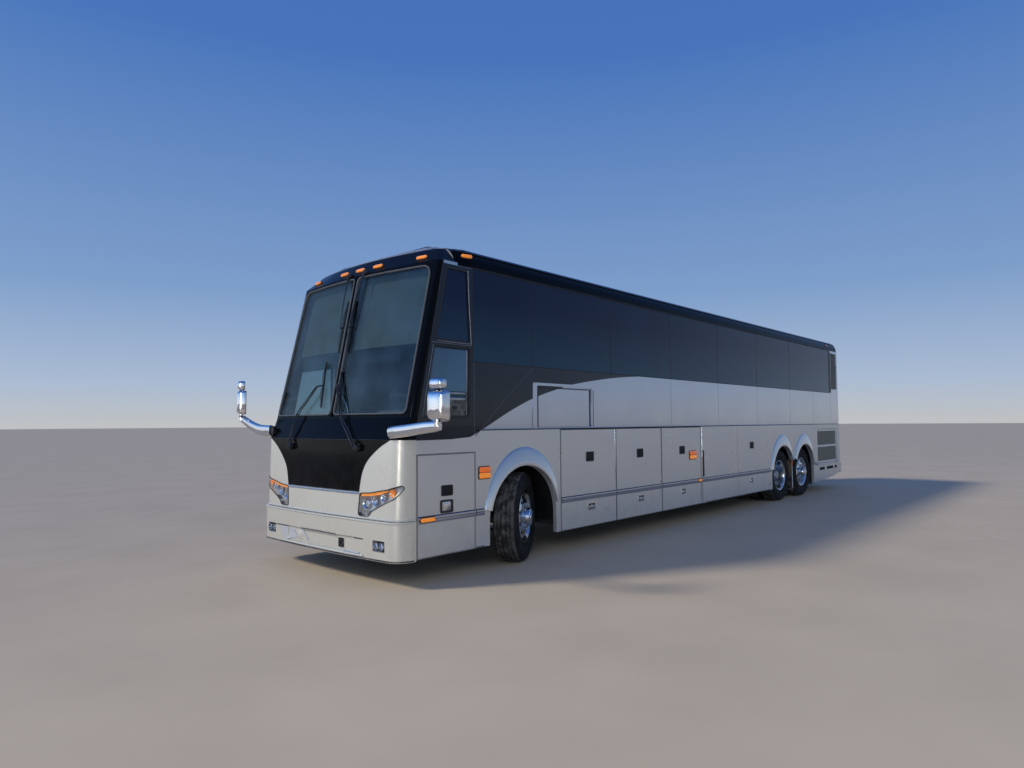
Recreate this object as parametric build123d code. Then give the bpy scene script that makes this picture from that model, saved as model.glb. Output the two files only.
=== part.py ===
from build123d import *
import math
import os

os.makedirs("parts", exist_ok=True)

# ---------------------------------------------------------------- sizes (mm)
# Long axis X, nose at +X, left side at +Y, ground at Z = 0.
# All x values below are counted from the arch centre of the front axle;
# X_SHIFT then carries them to the middle of the overall length.
X_SHIFT = 5047.5

HALF_W = 1295.0          # half of the body width
WALL = 60.0              # thickness of the upper side walls
SKIRT = 50.0             # thickness of the lower side panels and flaps
FACE = HALF_W            # outer face of both
SKIRT_LOW = 280.0        # lower edge of the lower panels
BELT = 1540.0            # seam between lower panels and upper wall
GLASS_LOW = 2286.0       # lower edge of the flush side glass
WALL_TOP = 3300.0        # where the roof corner begins
ROOF_CORNER_Y = 1080.0
ROOF_CORNER_Z = 3550.0
ROOF_CROWN = 3630.0
ROOF_T = 60.0
GAP = 6.0                # half of the gap round a door or flap

NOSE_BACK = 1672.0       # front edge of the side panels
BODY_BACK = -11700.0     # rear edge of the side panels
REAR_FACE = -12000.0
BUMPER_BACK = -12080.0

WHEEL_R = 520.0
TYRE_W = 290.0
RIM_R = 285.0
STEER_REST = 27.0        # degrees, wheels turned to the left as parked
KINGPIN_X = 80.0
KINGPIN_Y = 970.0
WHEEL_OFF = 165.0        # wheel centre outboard of the kingpin
DRIVE_X = -8030.0
TAG_X = -9280.0
DUAL_OUT = 1095.0
DUAL_IN = 755.0
SPINDLE_R = 50.0
FIT = 0.06               # radial running clearance

ARCH_R = 590.0
ARCH_Z = 530.0
ARCH_X = 30.0

FLOOR_LOW = 1480.0
FLOOR_TOP = 1540.0
BAY_FLOOR_LOW = 360.0
BAY_FLOOR_TOP = 400.0

# luggage bays: name, front edge x, rear edge x
BAYS = [
    ("front", -651.0, -1892.0),
    ("middle", -1892.0, -3133.0),
    ("rear", -3133.0, -4420.0),
]
# side windows: front seam x, rear seam x
WINDOWS = [
    (880.0, -126.0),      # dark panel behind the driver
    (-126.0, -1799.0),
    (-1799.0, -3457.0),
    (-3457.0, -5111.0),
    (-5111.0, -6795.0),
    (-6795.0, -8516.0),
    (-8516.0, -11100.0),
]


# ---------------------------------------------------------------- helpers
def box(x0, x1, y0, y1, z0, z1):
    return Pos((x0 + x1) / 2, (y0 + y1) / 2, (z0 + z1) / 2) * Box(
        abs(x1 - x0), abs(y1 - y0), abs(z1 - z0))


def plane_y(y):
    return Plane(origin=(0, y, 0), x_dir=(1, 0, 0), z_dir=(0, -1, 0))


def plane_x(x):
    return Plane(origin=(x, 0, 0), x_dir=(0, 1, 0), z_dir=(1, 0, 0))


def prism_y(pts, y0, y1):
    """polygon of (x, z) between two y"""
    lo, hi = min(y0, y1), max(y0, y1)
    return extrude(plane_y(hi) * make_face(Polyline(*pts, close=True)), amount=hi - lo)


def prism_x(pts, x0, x1):
    """polygon of (y, z) between two x"""
    lo, hi = min(x0, x1), max(x0, x1)
    return extrude(plane_x(lo) * make_face(Polyline(*pts, close=True)), amount=hi - lo)


def prism_z(pts, z0, z1):
    return extrude(Plane.XY.offset(z0) * make_face(Polyline(*pts, close=True)), amount=z1 - z0)


def cyl_y(x, y0, y1, z, r):
    lo, hi = min(y0, y1), max(y0, y1)
    return extrude(plane_y(hi) * (Pos(x, z) * Circle(r)), amount=hi - lo)


def cyl_z(x, y, z0, z1, r):
    return extrude(Plane.XY.offset(z0) * (Pos(x, y) * Circle(r)), amount=z1 - z0)


def cyl_x(x0, x1, y, z, r):
    return extrude(plane_x(min(x0, x1)) * (Pos(y, z) * Circle(r)), amount=abs(x1 - x0))


def bar(p, q, wide, deep=None):
    """straight bar from p to q, round when only one size is given"""
    d = Vector(*q) - Vector(*p)
    pl = Plane(origin=p, z_dir=(d.X, d.Y, d.Z))
    sec = Circle(wide / 2) if deep is None else Rectangle(wide, deep)
    return extrude(pl * sec, amount=d.length)


def mirror_side(shape):
    return mirror(shape, about=Plane.XZ)


def both(shape):
    return [shape, mirror_side(shape)]


def solids_of(*things):
    out = []
    for t in things:
        if isinstance(t, (list, tuple)):
            out += solids_of(*t)
        else:
            out += list(t.solids())
    return out


NODES = {}


def node(name, *things):
    sol = [s.moved(Location((X_SHIFT, 0, 0))) for s in solids_of(*things)]
    NODES[name] = sol[0] if len(sol) == 1 else Compound(children=sol)


# ---------------------------------------------------------------- nose sections
# plan of the nose at one height, as named columns:
# z, side x, side y, corner x, corner y, middle x
def plan(z, xs, ys, xc, yc, xm, back, off=0.0):
    xs, ys, xc, yc, xm = xs - off * 0.3, ys - off, xc - off, yc - off, xm - off
    kx = xs + (xc - xs) * 0.72
    ky = ys - (ys - yc) * 0.26
    e = [
        Line((back, ys, z), (xs, ys, z)),
        ThreePointArc((xs, ys, z), (kx, ky, z), (xc, yc, z)),
        ThreePointArc((xc, yc, z), (xm, 0, z), (xc, -yc, z)),
        ThreePointArc((xc, -yc, z), (kx, -ky, z), (xs, -ys, z)),
        Line((xs, -ys, z), (back, -ys, z)),
        Line((back, -ys, z), (back, ys, z)),
    ]
    return make_face(Wire(e))


def nose(low, high, off=0.0, grow=0.0):
    """ruled body between two plans; grow lengthens it past both ends"""
    a, b = dict(low), dict(high)
    if grow:
        span = b["z"] - a["z"]
        f = grow / span
        a2 = {k: a[k] - (b[k] - a[k]) * f for k in a}
        b2 = {k: b[k] + (b[k] - a[k]) * f for k in b}
        a, b = a2, b2
    return loft([plan(off=off, **a), plan(off=off, **b)], ruled=True)


P_BUMP_LOW = dict(z=264.0, xs=1690.0, ys=1300.0, xc=1905.0, yc=1110.0, xm=1945.0, back=NOSE_BACK)
P_BUMP_TOP = dict(z=656.0, xs=1690.0, ys=1300.0, xc=1915.0, yc=1110.0, xm=1955.0, back=NOSE_BACK)
P_MASK_LOW = dict(z=660.0, xs=1680.0, ys=1295.0, xc=1885.0, yc=1110.0, xm=1928.0, back=NOSE_BACK)
P_MASK_MID = dict(z=1456.0, xs=1676.0, ys=1295.0, xc=1862.0, yc=1130.0, xm=1900.0, back=NOSE_BACK)
P_SILL = dict(z=1680.0, xs=1662.0, ys=1295.0, xc=1742.0, yc=1250.0, xm=1790.0, back=1652.0)
P_HEAD = dict(z=3330.0, xs=1306.0, ys=1283.0, xc=1352.0, yc=1235.0, xm=1453.0, back=1296.0)
P_EDGE = dict(z=3500.0, xs=1120.0, ys=1120.0, xc=1215.0, yc=1040.0, xm=1320.0, back=1102.0)
P_TOP = dict(z=3590.0, xs=1106.0, ys=820.0, xc=1110.0, yc=700.0, xm=1116.0, back=1102.0)


def behind(p, back):
    q = dict(p)
    q["back"] = back
    return q


# ---------------------------------------------------------------- front bumper
bumper = nose(P_BUMP_LOW, P_BUMP_TOP)
bumper -= nose(behind(P_BUMP_LOW, 1500.0), behind(P_BUMP_TOP, 1500.0), off=45.0, grow=20.0)
bumper -= box(1925.0, 2100.0, -620.0, 620.0, 300.0, 470.0)
FOG_Y, FOG_Z = 1016.0, 412.0
for s in (1, -1):
    bumper -= box(1700.0, 2100.0, s * FOG_Y - 88.0, s * FOG_Y + 88.0, FOG_Z - 55.0, FOG_Z + 55.0)
TOW_Y, TOW_Z, TOW_R = 400.0, 385.0, 22.0
for s in (1, -1):
    bumper += cyl_x(1800.0, 1920.0, s * TOW_Y, TOW_Z, 45.0)
    bumper -= cyl_x(1790.0, 2000.0, s * TOW_Y, TOW_Z, TOW_R)
node("front_bumper", bumper)

# ---------------------------------------------------------------- front mask
# lamp outline on the front, (y, z), wraps round the corner
LAMP = [(672.0, 690.0), (690.0, 915.0), (860.0, 925.0), (1080.0, 965.0), (1245.0, 1012.0),
        (1265.0, 985.0), (1180.0, 890.0), (1000.0, 800.0), (870.0, 735.0), (838.0, 690.0)]


P_IN_LOW = dict(P_MASK_LOW, z=655.0, back=1500.0)
P_IN_TOP = dict(P_SILL, z=1682.0, back=1500.0)
mask_top = nose(P_MASK_MID, P_SILL)
mask = loft([plan(**P_MASK_LOW), plan(**P_MASK_MID), plan(**P_SILL)], ruled=True)
mask -= loft([plan(off=55.0, **P_IN_LOW), plan(off=55.0, **behind(P_MASK_MID, 1500.0)), plan(off=55.0, **P_IN_TOP)],
             ruled=True)
lamp_cut = [prism_x([(s * y, z) for y, z in LAMP], 1500.0, 2100.0) for s in (1, -1)]
lamps = [s for c in lamp_cut for s in (mask & c).solids()]
for c in lamp_cut:
    mask -= c
node("front_mask", mask)

# ---------------------------------------------------------------- screen frame and panes
PANE = [(34.0, 1720.0), (34.0, 3290.0), (1105.0, 3278.0), (1165.0, 3245.0), (1190.0, 3180.0),
        (1212.0, 1760.0), (1190.0, 1720.0)]
f_out = nose(P_SILL, P_HEAD)
f_in = nose(behind(P_SILL, 1400.0), behind(P_HEAD, 1000.0), off=45.0, grow=5.0)
frame = f_out - f_in
P_BAND = dict(P_HEAD, z=3331.0, back=1102.0)
header = loft([plan(**P_BAND), plan(**P_EDGE), plan(**P_TOP)], ruled=True)
header -= loft([plan(off=45.0, **dict(P_BAND, z=3325.0, back=900.0)), plan(off=45.0, **behind(P_EDGE, 800.0))], ruled=True)
glass_shell = f_out - nose(behind(P_SILL, 1400.0), behind(P_HEAD, 1000.0), off=14.0, grow=5.0)
panes = []
for s in (1, -1):
    cut = prism_x([(s * y, z) for y, z in PANE], 1200.0, 2000.0)
    panes += (glass_shell & cut).solids()
    frame -= cut
node("windshield_frame", frame, header)
node("windshield", panes)


# ---------------------------------------------------------------- roof
def roof_section(x, side_y, cor_y, cor_z, crown, off=0.0, low=WALL_TOP):
    sy, cy, cz, cr = side_y - off, cor_y - off * 0.6, cor_z - off * 0.8, crown - off
    my = sy - (sy - cy) * 0.30
    mz = low + (cz - low) * 0.70
    e = [
        ThreePointArc((x, -sy, low), (x, -my, mz), (x, -cy, cz)),
        ThreePointArc((x, -cy, cz), (x, 0, cr), (x, cy, cz)),
        ThreePointArc((x, cy, cz), (x, my, mz), (x, sy, low)),
        Line((x, sy, low), (x, -sy, low)),
    ]
    return make_face(Wire(e))


# x, side y, corner y, corner z, crown z
ROOF = [
    (-11960.0, 1090.0, 930.0, 3470.0, 3540.0),
    (BODY_BACK, HALF_W, ROOF_CORNER_Y, ROOF_CORNER_Z, ROOF_CROWN),
    (900.0, HALF_W, ROOF_CORNER_Y, ROOF_CORNER_Z, ROOF_CROWN),
    (1100.0, 1240.0, 1050.0, 3532.0, 3600.0),
]


def roof_body(off, table, low):
    body = None
    for a, b in zip(table, table[1:]):
        piece = loft([roof_section(a[0], *a[1:], off=off, low=low),
                      roof_section(b[0], *b[1:], off=off, low=low)], ruled=True)
        body = piece if body is None else body + piece
    return body


roof = roof_body(0.0, ROOF, WALL_TOP)
roof_in = roof_body(ROOF_T, [(-11900.0,) + ROOF[0][1:]] + ROOF[1:3] + [(1150.0,) + ROOF[3][1:]], WALL_TOP - 1.0)
roof -= roof_in
for hx in (-2600.0, -8900.0):
    roof += box(hx - 380.0, hx + 380.0, -330.0, 330.0, 3600.0, 3668.0) - box(hx - 390.0, hx + 390.0, -340.0, 340.0, 3400.0, 3605.0)
roof = Compound(children=[s for s in roof.solids() if s.volume > 1e6])
node("roof", roof)

# ---------------------------------------------------------------- upper side walls
wall_pts = [(NOSE_BACK, BELT), (1650.0, 1680.0), (1294.0, 3330.0), (1102.0, 3330.0), (1102.0, WALL_TOP),
            (BODY_BACK, WALL_TOP), (BODY_BACK, BELT)]
DRIVER_PANE = [(935.0, 1684.0), (1585.0, 1684.0), (1440.0, 2425.0), (912.0, 2425.0)]
QUARTER_PANE = [(912.0, 2480.0), (1425.0, 2480.0), (1262.0, 3260.0), (955.0, 3260.0)]
DOOR_FRONT = 1620.0
DOOR_BACK = 862.0
DOOR_LOW = 300.0
DOOR_TOP = 2760.0
DOOR_PTS = [(DOOR_BACK, DOOR_LOW), (DOOR_FRONT, DOOR_LOW), (DOOR_FRONT - 5.0, 1600.0),
            (DOOR_FRONT - 245.0, DOOR_TOP), (DOOR_BACK, DOOR_TOP)]


def grow_poly(pts, g):
    cx = sum(p[0] for p in pts) / len(pts)
    cz = sum(p[1] for p in pts) / len(pts)
    return [(x + math.copysign(g, x - cx), z + math.copysign(g, z - cz)) for x, z in pts]


def upper_wall(right):
    w = prism_y(wall_pts, FACE - WALL, FACE) - mask_top
    w -= box(-11110.0, 856.0 if right else 890.0, FACE - 10.0, FACE + 10.0, GLASS_LOW, WALL_TOP + 1.0)
    for x_f, x_b in WINDOWS[1:]:
        w -= box(x_b + 45.0, x_f - 45.0, 1000.0, 1400.0, GLASS_LOW + 45.0, 3245.0)
    w -= box(-11640.0, -11235.0, FACE - 25.0, FACE + 10.0, 2385.0, 3225.0)
    if right:
        w -= prism_y(grow_poly(DOOR_PTS, GAP), 1000.0, 1400.0)
        w -= prism_y([(930.0, 2810.0), (1330.0, 2810.0), (1245.0, 3230.0), (930.0, 3230.0)], 1000.0, 1400.0)
    else:
        w -= prism_y(DRIVER_PANE, 1000.0, 1400.0)
        w -= prism_y(QUARTER_PANE, 1000.0, 1400.0)
    return w


node("left_side_wall", upper_wall(False))
node("right_side_wall", mirror_side(upper_wall(True)))

# side glass: flush panes, then the panes at the driver and over the door
first = [box(WINDOWS[0][1] + 4.0, f, FACE - 9.5, FACE, GLASS_LOW + 3.0, WALL_TOP - 3.0) for f in (876.0, 850.0)]
panes = [box(b + 4.0, f - 4.0, FACE - 9.5, FACE, GLASS_LOW + 3.0, WALL_TOP - 3.0) for f, b in WINDOWS[1:]]
panes += [box(-11636.0, -11239.0, FACE - 24.5, FACE - 16.0, 2389.0, 3221.0)]
driver = [prism_y(DRIVER_PANE, FACE - 34.0, FACE - 26.0),
          prism_y(QUARTER_PANE, FACE - 18.0, FACE - 10.0)]
over_door = [prism_y([(932.0, 2812.0), (1328.0, 2812.0), (1243.0, 3228.0), (932.0, 3228.0)], FACE - 18.0, FACE - 10.0)]
node("left_windows", first[0], panes, driver)
node("right_windows", [mirror_side(p) for p in [first[1]] + panes + over_door])


# ---------------------------------------------------------------- lower side panels
def arches(y0, y1):
    c = cyl_y(ARCH_X, y0, y1, ARCH_Z, ARCH_R)
    c += box(ARCH_X - ARCH_R, ARCH_X + ARCH_R, y0, y1, 0.0, ARCH_Z)
    for x in (DRIVE_X, TAG_X):
        c += cyl_y(x, y0, y1, 525.0, 585.0)
        c += box(x - 585.0, x + 585.0, y0, y1, 0.0, 525.0)
    c += box(TAG_X, DRIVE_X, y0, y1, 0.0, 810.0)
    return c


RAD_F, RAD_B, RAD_LOW, RAD_TOP = -10150.0, -11550.0, 655.0, 1430.0
SERVICE_F, SERVICE_B, SERVICE_TOP = 1662.0, 843.0, 1305.0


def lower_panel(right):
    y0, y1 = FACE - SKIRT, FACE
    front = box(-645.0, NOSE_BACK, y0, y1, SKIRT_LOW, BELT) - mask_top
    if right:
        front -= prism_y(grow_poly(DOOR_PTS, GAP), 1000.0, 1400.0)
    else:
        front -= box(SERVICE_B - GAP, NOSE_BACK + 10.0, 1000.0, 1400.0, 0.0, SERVICE_TOP + GAP)
    rear_pts = [(BAYS[-1][2] - GAP, SKIRT_LOW), (BAYS[-1][2] - GAP, BELT), (BODY_BACK, BELT), (BODY_BACK, 392.0),
                (-11300.0, 325.0), (-10700.0, 275.0), (-9930.0, 254.0), (-9800.0, 254.0), (-7300.0, SKIRT_LOW)]
    rear = prism_y(rear_pts, y0, y1)
    if not right:
        rear -= box(RAD_B - GAP, RAD_F + GAP, 1000.0, 1400.0, RAD_LOW - GAP, RAD_TOP + GAP)
    else:
        rear -= box(RAD_B + 60.0, RAD_F - 60.0, FACE - 25.0, 1400.0, 760.0, 1380.0)
    cut = arches(1000.0, 1400.0)
    return [front - cut, rear - cut]


node("left_lower_panels", lower_panel(False))
node("right_lower_panels", [mirror_side(s) for s in solids_of(lower_panel(True))])

# ---------------------------------------------------------------- doors and flaps
bay_flaps = {}
for name, f, b in BAYS:
    flap = box(b + GAP, f - GAP, FACE - SKIRT, FACE, SKIRT_LOW, BELT - GAP - 4.0)
    stiff = box(b + 120.0, f - 120.0, FACE - SKIRT, FACE - 25.0, 420.0, 1440.0)
    flap -= stiff
    node("left_%s_luggage_door" % name, flap)
    node("right_%s_luggage_door" % name, mirror_side(flap))

service = box(SERVICE_B, SERVICE_F, FACE - SKIRT, FACE, SKIRT_LOW - 3.0, SERVICE_TOP)
service -= box(SERVICE_B + 60.0, SERVICE_F - 60.0, FACE - SKIRT - 1.0, FACE - 25.0, 360.0, 1240.0)
node("front_service_door", service)

rad_door = box(RAD_B, RAD_F, FACE - SKIRT, FACE, RAD_LOW, RAD_TOP)
for z0, z1 in ((700.0, 1020.0), (1065.0, 1385.0)):
    rad_door -= box(RAD_B + 60.0, RAD_F - 60.0, 1000.0, 1400.0, z0, z1)
    for i in range(9):
        z = z0 + (z1 - z0) * (i + 0.5) / 9.0
        rad_door += box(RAD_B + 50.0, RAD_F - 50.0, FACE - 40.0, FACE - 15.0, z - 7.0, z + 7.0)
node("radiator_door", rad_door)

entry = prism_y(DOOR_PTS, FACE - SKIRT, FACE)
ENTRY_PANE = [(DOOR_BACK + 70.0, 760.0), (DOOR_FRONT - 75.0, 760.0), (DOOR_FRONT - 80.0, 1600.0),
              (DOOR_FRONT - 300.0, DOOR_TOP - 75.0), (DOOR_BACK + 70.0, DOOR_TOP - 75.0)]
entry -= prism_y(ENTRY_PANE, 1000.0, 1400.0)
node("entrance_door", mirror_side(entry))
node("entrance_door_glass", mirror_side(prism_y(ENTRY_PANE, FACE - 22.0, FACE - 12.0)))


# ---------------------------------------------------------------- rear cap
def rear_plan(off, z0, z1, x_front=BODY_BACK, push=0.0):
    ys, r = HALF_W - off, 280.0
    xr = REAR_FACE + off - push
    xc = xr + 30.0
    e = [
        Line((x_front, ys, z0), (BODY_BACK - push * 0.2, ys, z0)),
        ThreePointArc((BODY_BACK - push * 0.2, ys, z0), (xc + 72.0, ys - 72.0 - off * 0.2, z0), (xc, ys - r, z0)),
        ThreePointArc((xc, ys - r, z0), (xr, 0, z0), (xc, -(ys - r), z0)),
        ThreePointArc((xc, -(ys - r), z0), (xc + 72.0, -(ys - 72.0 - off * 0.2), z0), (BODY_BACK - push * 0.2, -ys, z0)),
        Line((BODY_BACK - push * 0.2, -ys, z0), (x_front, -ys, z0)),
        Line((x_front, -ys, z0), (x_front, ys, z0)),
    ]
    return extrude(make_face(Wire(e)), amount=z1 - z0)


ENGINE_DOOR = (-915.0, 915.0, 672.0, 1495.0)
rear = rear_plan(0.0, 620.0, WALL_TOP, x_front=BODY_BACK - 0.2)
rear -= rear_plan(55.0, 600.0, WALL_TOP + 20.0, x_front=BODY_BACK + 400.0)
shell = Compound(children=rear.solids())
tail_cut = [box(-12200.0, -11800.0, s * 985.0 - 65.0, s * 985.0 + 65.0, 880.0, 1480.0) for s in (1, -1)]
tail = [s for c in tail_cut for s in (shell & c).solids()]
for c in tail_cut:
    rear -= c
y0, y1, z0, z1 = ENGINE_DOOR
engine_door = rear & box(-12200.0, -11800.0, y0, y1, z0, z1)
rear -= box(-12200.0, -11800.0, y0 - GAP, y1 + GAP, z0 - GAP, z1 + GAP + 2.0)
rear_pane_cut = box(-12200.0, -11800.0, -900.0, 900.0, 2330.0, 3080.0)
rear_pane = (rear_plan(2.0, 2331.0, 3079.0, x_front=BODY_BACK - 0.2) - rear_plan(14.0, 2300.0, 3100.0, x_front=BODY_BACK + 400.0)) & box(-12200.0, -11800.0, -899.0, 899.0, 2331.0, 3079.0)
rear -= rear_pane_cut
node("rear_cap", rear)
node("rear_window", rear_pane)
node("engine_door", engine_door)
node("tail_lamps", tail)

r_bump = rear_plan(-4.0, 372.0, 614.0, x_front=BODY_BACK - 2.0, push=76.0)
r_bump -= rear_plan(45.0, 300.0, 700.0, x_front=BODY_BACK + 400.0, push=76.0)
PLATE_Y, PLATE_Z = 180.0, 500.0
r_bump -= cyl_x(-12200.0, -11900.0, PLATE_Y / 2, PLATE_Z, 4.0)
r_bump -= cyl_x(-12200.0, -11900.0, -PLATE_Y / 2, PLATE_Z, 4.0)
node("rear_bumper", r_bump)

# ---------------------------------------------------------------- underframe
HOLD_FRONT, HOLD_BACK = -660.0, -7340.0
node("hold_floor", box(HOLD_BACK, HOLD_FRONT, -1225.0, 1225.0, BAY_FLOOR_LOW, BAY_FLOOR_TOP))
node("bulkheads", [box(x - 20.0, x + 20.0, -1225.0, 1225.0, BAY_FLOOR_TOP, FLOOR_LOW)
                   for x in (-680.0, -1892.0, -3133.0, -4480.0, -7320.0)])

RAIL_F_Y, RAIL_F_Z0, RAIL_F_Z1 = 400.0, 720.0, 845.0
RAIL_R_Y, RAIL_R_Z0, RAIL_R_Z1 = 535.0, 860.0, 1010.0
ff = box(700.0, 760.0, -440.0, 440.0, RAIL_F_Z0, RAIL_F_Z1)
ff += box(1690.0, 1740.0, -1110.0, 1110.0, 560.0, 645.0)
ff += box(1690.0, 1740.0, -560.0, 560.0, 560.0, RAIL_F_Z1)
rf = box(-11860.0, -11800.0, -1150.0, 1150.0, 420.0, 560.0)
for s in (1, -1):
    ff += box(HOLD_FRONT, 1740.0, s * RAIL_F_Y - 40.0, s * RAIL_F_Y + 40.0, RAIL_F_Z0, RAIL_F_Z1)
    ff += box(1690.0, 1740.0, s * 1050.0 - 60.0, s * 1050.0 + 60.0, 320.0, 640.0)
    ff += box(360.0, 420.0, s * 400.0 - 40.0, s * 400.0 + 40.0, RAIL_F_Z0, FLOOR_LOW)
    rf += box(-11860.0, HOLD_BACK, s * RAIL_R_Y - 38.0, s * RAIL_R_Y + 38.0, RAIL_R_Z0, RAIL_R_Z1)
    rf += box(-11860.0, -11800.0, s * 535.0 - 38.0, s * 535.0 + 38.0, 420.0, RAIL_R_Z1)
    for x in (-7700.0, -9930.0, -11860.0):
        rf += box(x, x + 60.0, s * 533.0, s * 573.0, RAIL_R_Z0, FLOOR_LOW)
for x in (-7700.0, -8655.0, -9930.0, -11860.0):
    rf += box(x, x + 60.0, -573.0, 573.0, RAIL_R_Z0, RAIL_R_Z1)
node("front_frame", ff)
node("rear_frame", rf)

node("passenger_floor", box(-11640.0, 450.0, -1232.0, 1232.0, FLOOR_LOW, FLOOR_TOP))

# driver's platform with the steps down to the entrance door: (y, z) outline
STEPS = [(1225.0, 1100.0), (-250.0, 1100.0), (-250.0, 850.0), (-560.0, 850.0), (-560.0, 600.0), (-880.0, 600.0),
         (-880.0, 350.0), (-1225.0, 350.0), (-1225.0, 390.0), (-920.0, 390.0), (-920.0, 640.0), (-600.0, 640.0),
         (-600.0, 890.0), (-290.0, 890.0), (-290.0, 1150.0), (1225.0, 1150.0)]
cab = prism_x(STEPS, 800.0, 1640.0)
cab += box(452.0, 800.0, -1225.0, 1225.0, 1100.0, 1150.0)
cab += box(452.0, 490.0, -1225.0, 1225.0, 1100.0, FLOOR_TOP)
cab += box(800.0, 840.0, -1225.0, -250.0, 350.0, 1150.0)
cab += box(620.0, 680.0, -350.0, 350.0, RAIL_F_Z1, 1100.0)
cab -= ff
node("cab_floor", cab)


# ---------------------------------------------------------------- wheel housings
def housing_front():
    cx, r0, t = KINGPIN_X, 650.0, 15.0
    outer = cyl_y(cx, 480.0, 1235.0, ARCH_Z, r0 + t) + box(cx - r0 - t, cx + r0 + t, 480.0, 1235.0, 420.0, ARCH_Z)
    inner = cyl_y(cx, 495.0, 1300.0, ARCH_Z, r0) + box(cx - r0, cx + r0, 495.0, 1300.0, 300.0, ARCH_Z)
    outer -= box(cx - 2000.0, cx + 2000.0, 0.0, 2000.0, 0.0, 420.0)
    sheet = outer - inner
    sheet -= box(cx - 230.0, cx + 230.0, 400.0, 600.0, 300.0, 745.0)
    return sheet & box(-640.0, 790.0, 0.0, 1235.0, 0.0, 2000.0)


def housing_rear():
    o = box(-9940.0, -7370.0, 590.0, 1235.0, 700.0, 1180.0)
    o -= box(-9925.0, -7385.0, 605.0, 1300.0, 600.0, 1165.0)
    return o


node("wheel_housings", both(housing_front()), both(housing_rear()))

# ---------------------------------------------------------------- axles
kp = (KINGPIN_X, KINGPIN_Y)
fa = box(KINGPIN_X - 55.0, KINGPIN_X + 55.0, -930.0, 930.0, 425.0, 535.0)
for s in (1, -1):
    fa += cyl_z(KINGPIN_X, s * KINGPIN_Y, 410.0, 590.0, 55.0)
    fa += box(KINGPIN_X - 40.0, KINGPIN_X + 40.0, s * 880.0, s * 950.0, 425.0, 560.0)
    fa += cyl_z(KINGPIN_X, s * KINGPIN_Y, 350.0, 650.0, 24.0)
    fa += cyl_z(KINGPIN_X, s * RAIL_F_Y, 535.0, RAIL_F_Z0, 105.0)
    fa += bar((KINGPIN_X - 40.0, s * 420.0, 470.0), (-645.0, s * 420.0, 560.0), 60.0, 40.0)
node("front_axle", fa)


def turned(shape, side):
    """carries a piece made at the origin to the kingpin, with the parked steer"""
    return Location((KINGPIN_X, side * KINGPIN_Y, 0), (0, 0, STEER_REST)) * shape


ARM = 150.0


def knuckle(side):
    k = cyl_z(0, 0, 592.0, 640.0, 58.0) + cyl_z(0, 0, 360.0, 408.0, 58.0)
    k += box(-50.0, 50.0, side * 20.0, side * 110.0, 592.0, 640.0)
    k += box(-50.0, 50.0, side * 20.0, side * 110.0, 360.0, 408.0)
    k += box(-70.0, 70.0, side * 72.0, side * 112.0, 360.0, 640.0)
    k -= cyl_z(0, 0, 340.0, 660.0, 24.0 + FIT)
    k += cyl_y(0, side * 112.0, side * (WHEEL_OFF + 118.0), WHEEL_R, SPINDLE_R)
    k += box(-ARM - 10.0, -30.0, -22.0, 22.0, 362.0, 396.0)
    k += cyl_z(-ARM, 0, 352.0, 400.0, 30.0)
    return turned(k, side)


node("left_knuckle", knuckle(1))
node("right_knuckle", knuckle(-1))

c27, s27 = math.cos(math.radians(STEER_REST)), math.sin(math.radians(STEER_REST))
TIE_X = KINGPIN_X - ARM * c27
TIE_YL = KINGPIN_Y - ARM * s27
TIE_YR = -KINGPIN_Y - ARM * s27
tie = cyl_y(TIE_X, TIE_YL, TIE_YR, 318.0, 17.0)
tie += cyl_z(TIE_X, TIE_YL, 292.0, 345.0, 28.0) + cyl_z(TIE_X, TIE_YR, 292.0, 345.0, 28.0)
node("tie_rod", tie)

da = cyl_y(DRIVE_X, -590.0, 590.0, WHEEL_R, 80.0)
da += cyl_y(DRIVE_X, -170.0, 170.0, WHEEL_R, 205.0)
da += cyl_x(DRIVE_X - 420.0, DRIVE_X, 0.0, WHEEL_R, 95.0)
da += cyl_y(DRIVE_X, -(DUAL_OUT + 40.0), DUAL_OUT + 40.0, WHEEL_R, SPINDLE_R)
ta = cyl_y(TAG_X, -880.0, 880.0, WHEEL_R, 62.0)
ta += cyl_y(TAG_X, -(DUAL_OUT + 110.0), DUAL_OUT + 110.0, WHEEL_R, SPINDLE_R)
for s in (1, -1):
    for off in (-290.0, 290.0):
        da += bar((DRIVE_X, s * RAIL_R_Y, 500.0), (DRIVE_X + off, s * RAIL_R_Y, 560.0), 110.0, 60.0)
        da += cyl_z(DRIVE_X + off, s * RAIL_R_Y, 540.0, RAIL_R_Z0, 55.0)
        ta += bar((TAG_X, s * RAIL_R_Y, 500.0), (TAG_X + off, s * RAIL_R_Y, 560.0), 110.0, 60.0)
        ta += cyl_z(TAG_X + off, s * RAIL_R_Y, 540.0, RAIL_R_Z0, 55.0)
node("drive_axle", da)
node("tag_axle", ta)

# ---------------------------------------------------------------- wheels
# tyre outline: distance from the middle plane, radius
TYRE = [(-100.0, RIM_R), (-118.0, 310.0), (-143.0, 400.0), (-140.0, 460.0), (-125.0, 500.0), (-100.0, 514.0),
        (-60.0, WHEEL_R), (60.0, WHEEL_R), (100.0, 514.0), (125.0, 500.0), (140.0, 460.0), (143.0, 400.0),
        (118.0, 310.0), (100.0, RIM_R)]


def spin(pts, y=0.0):
    """revolves an outline of (distance along Y, radius) about the Y axis"""
    prof = make_face(Polyline(*[(r, 0.0, y + w) for w, r in pts], close=True))
    body = revolve(prof, axis=Axis.Z, revolution_arc=360)
    # local Z becomes world Y
    return body.rotate(Axis.X, -90)


tyre0 = spin(TYRE)
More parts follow.
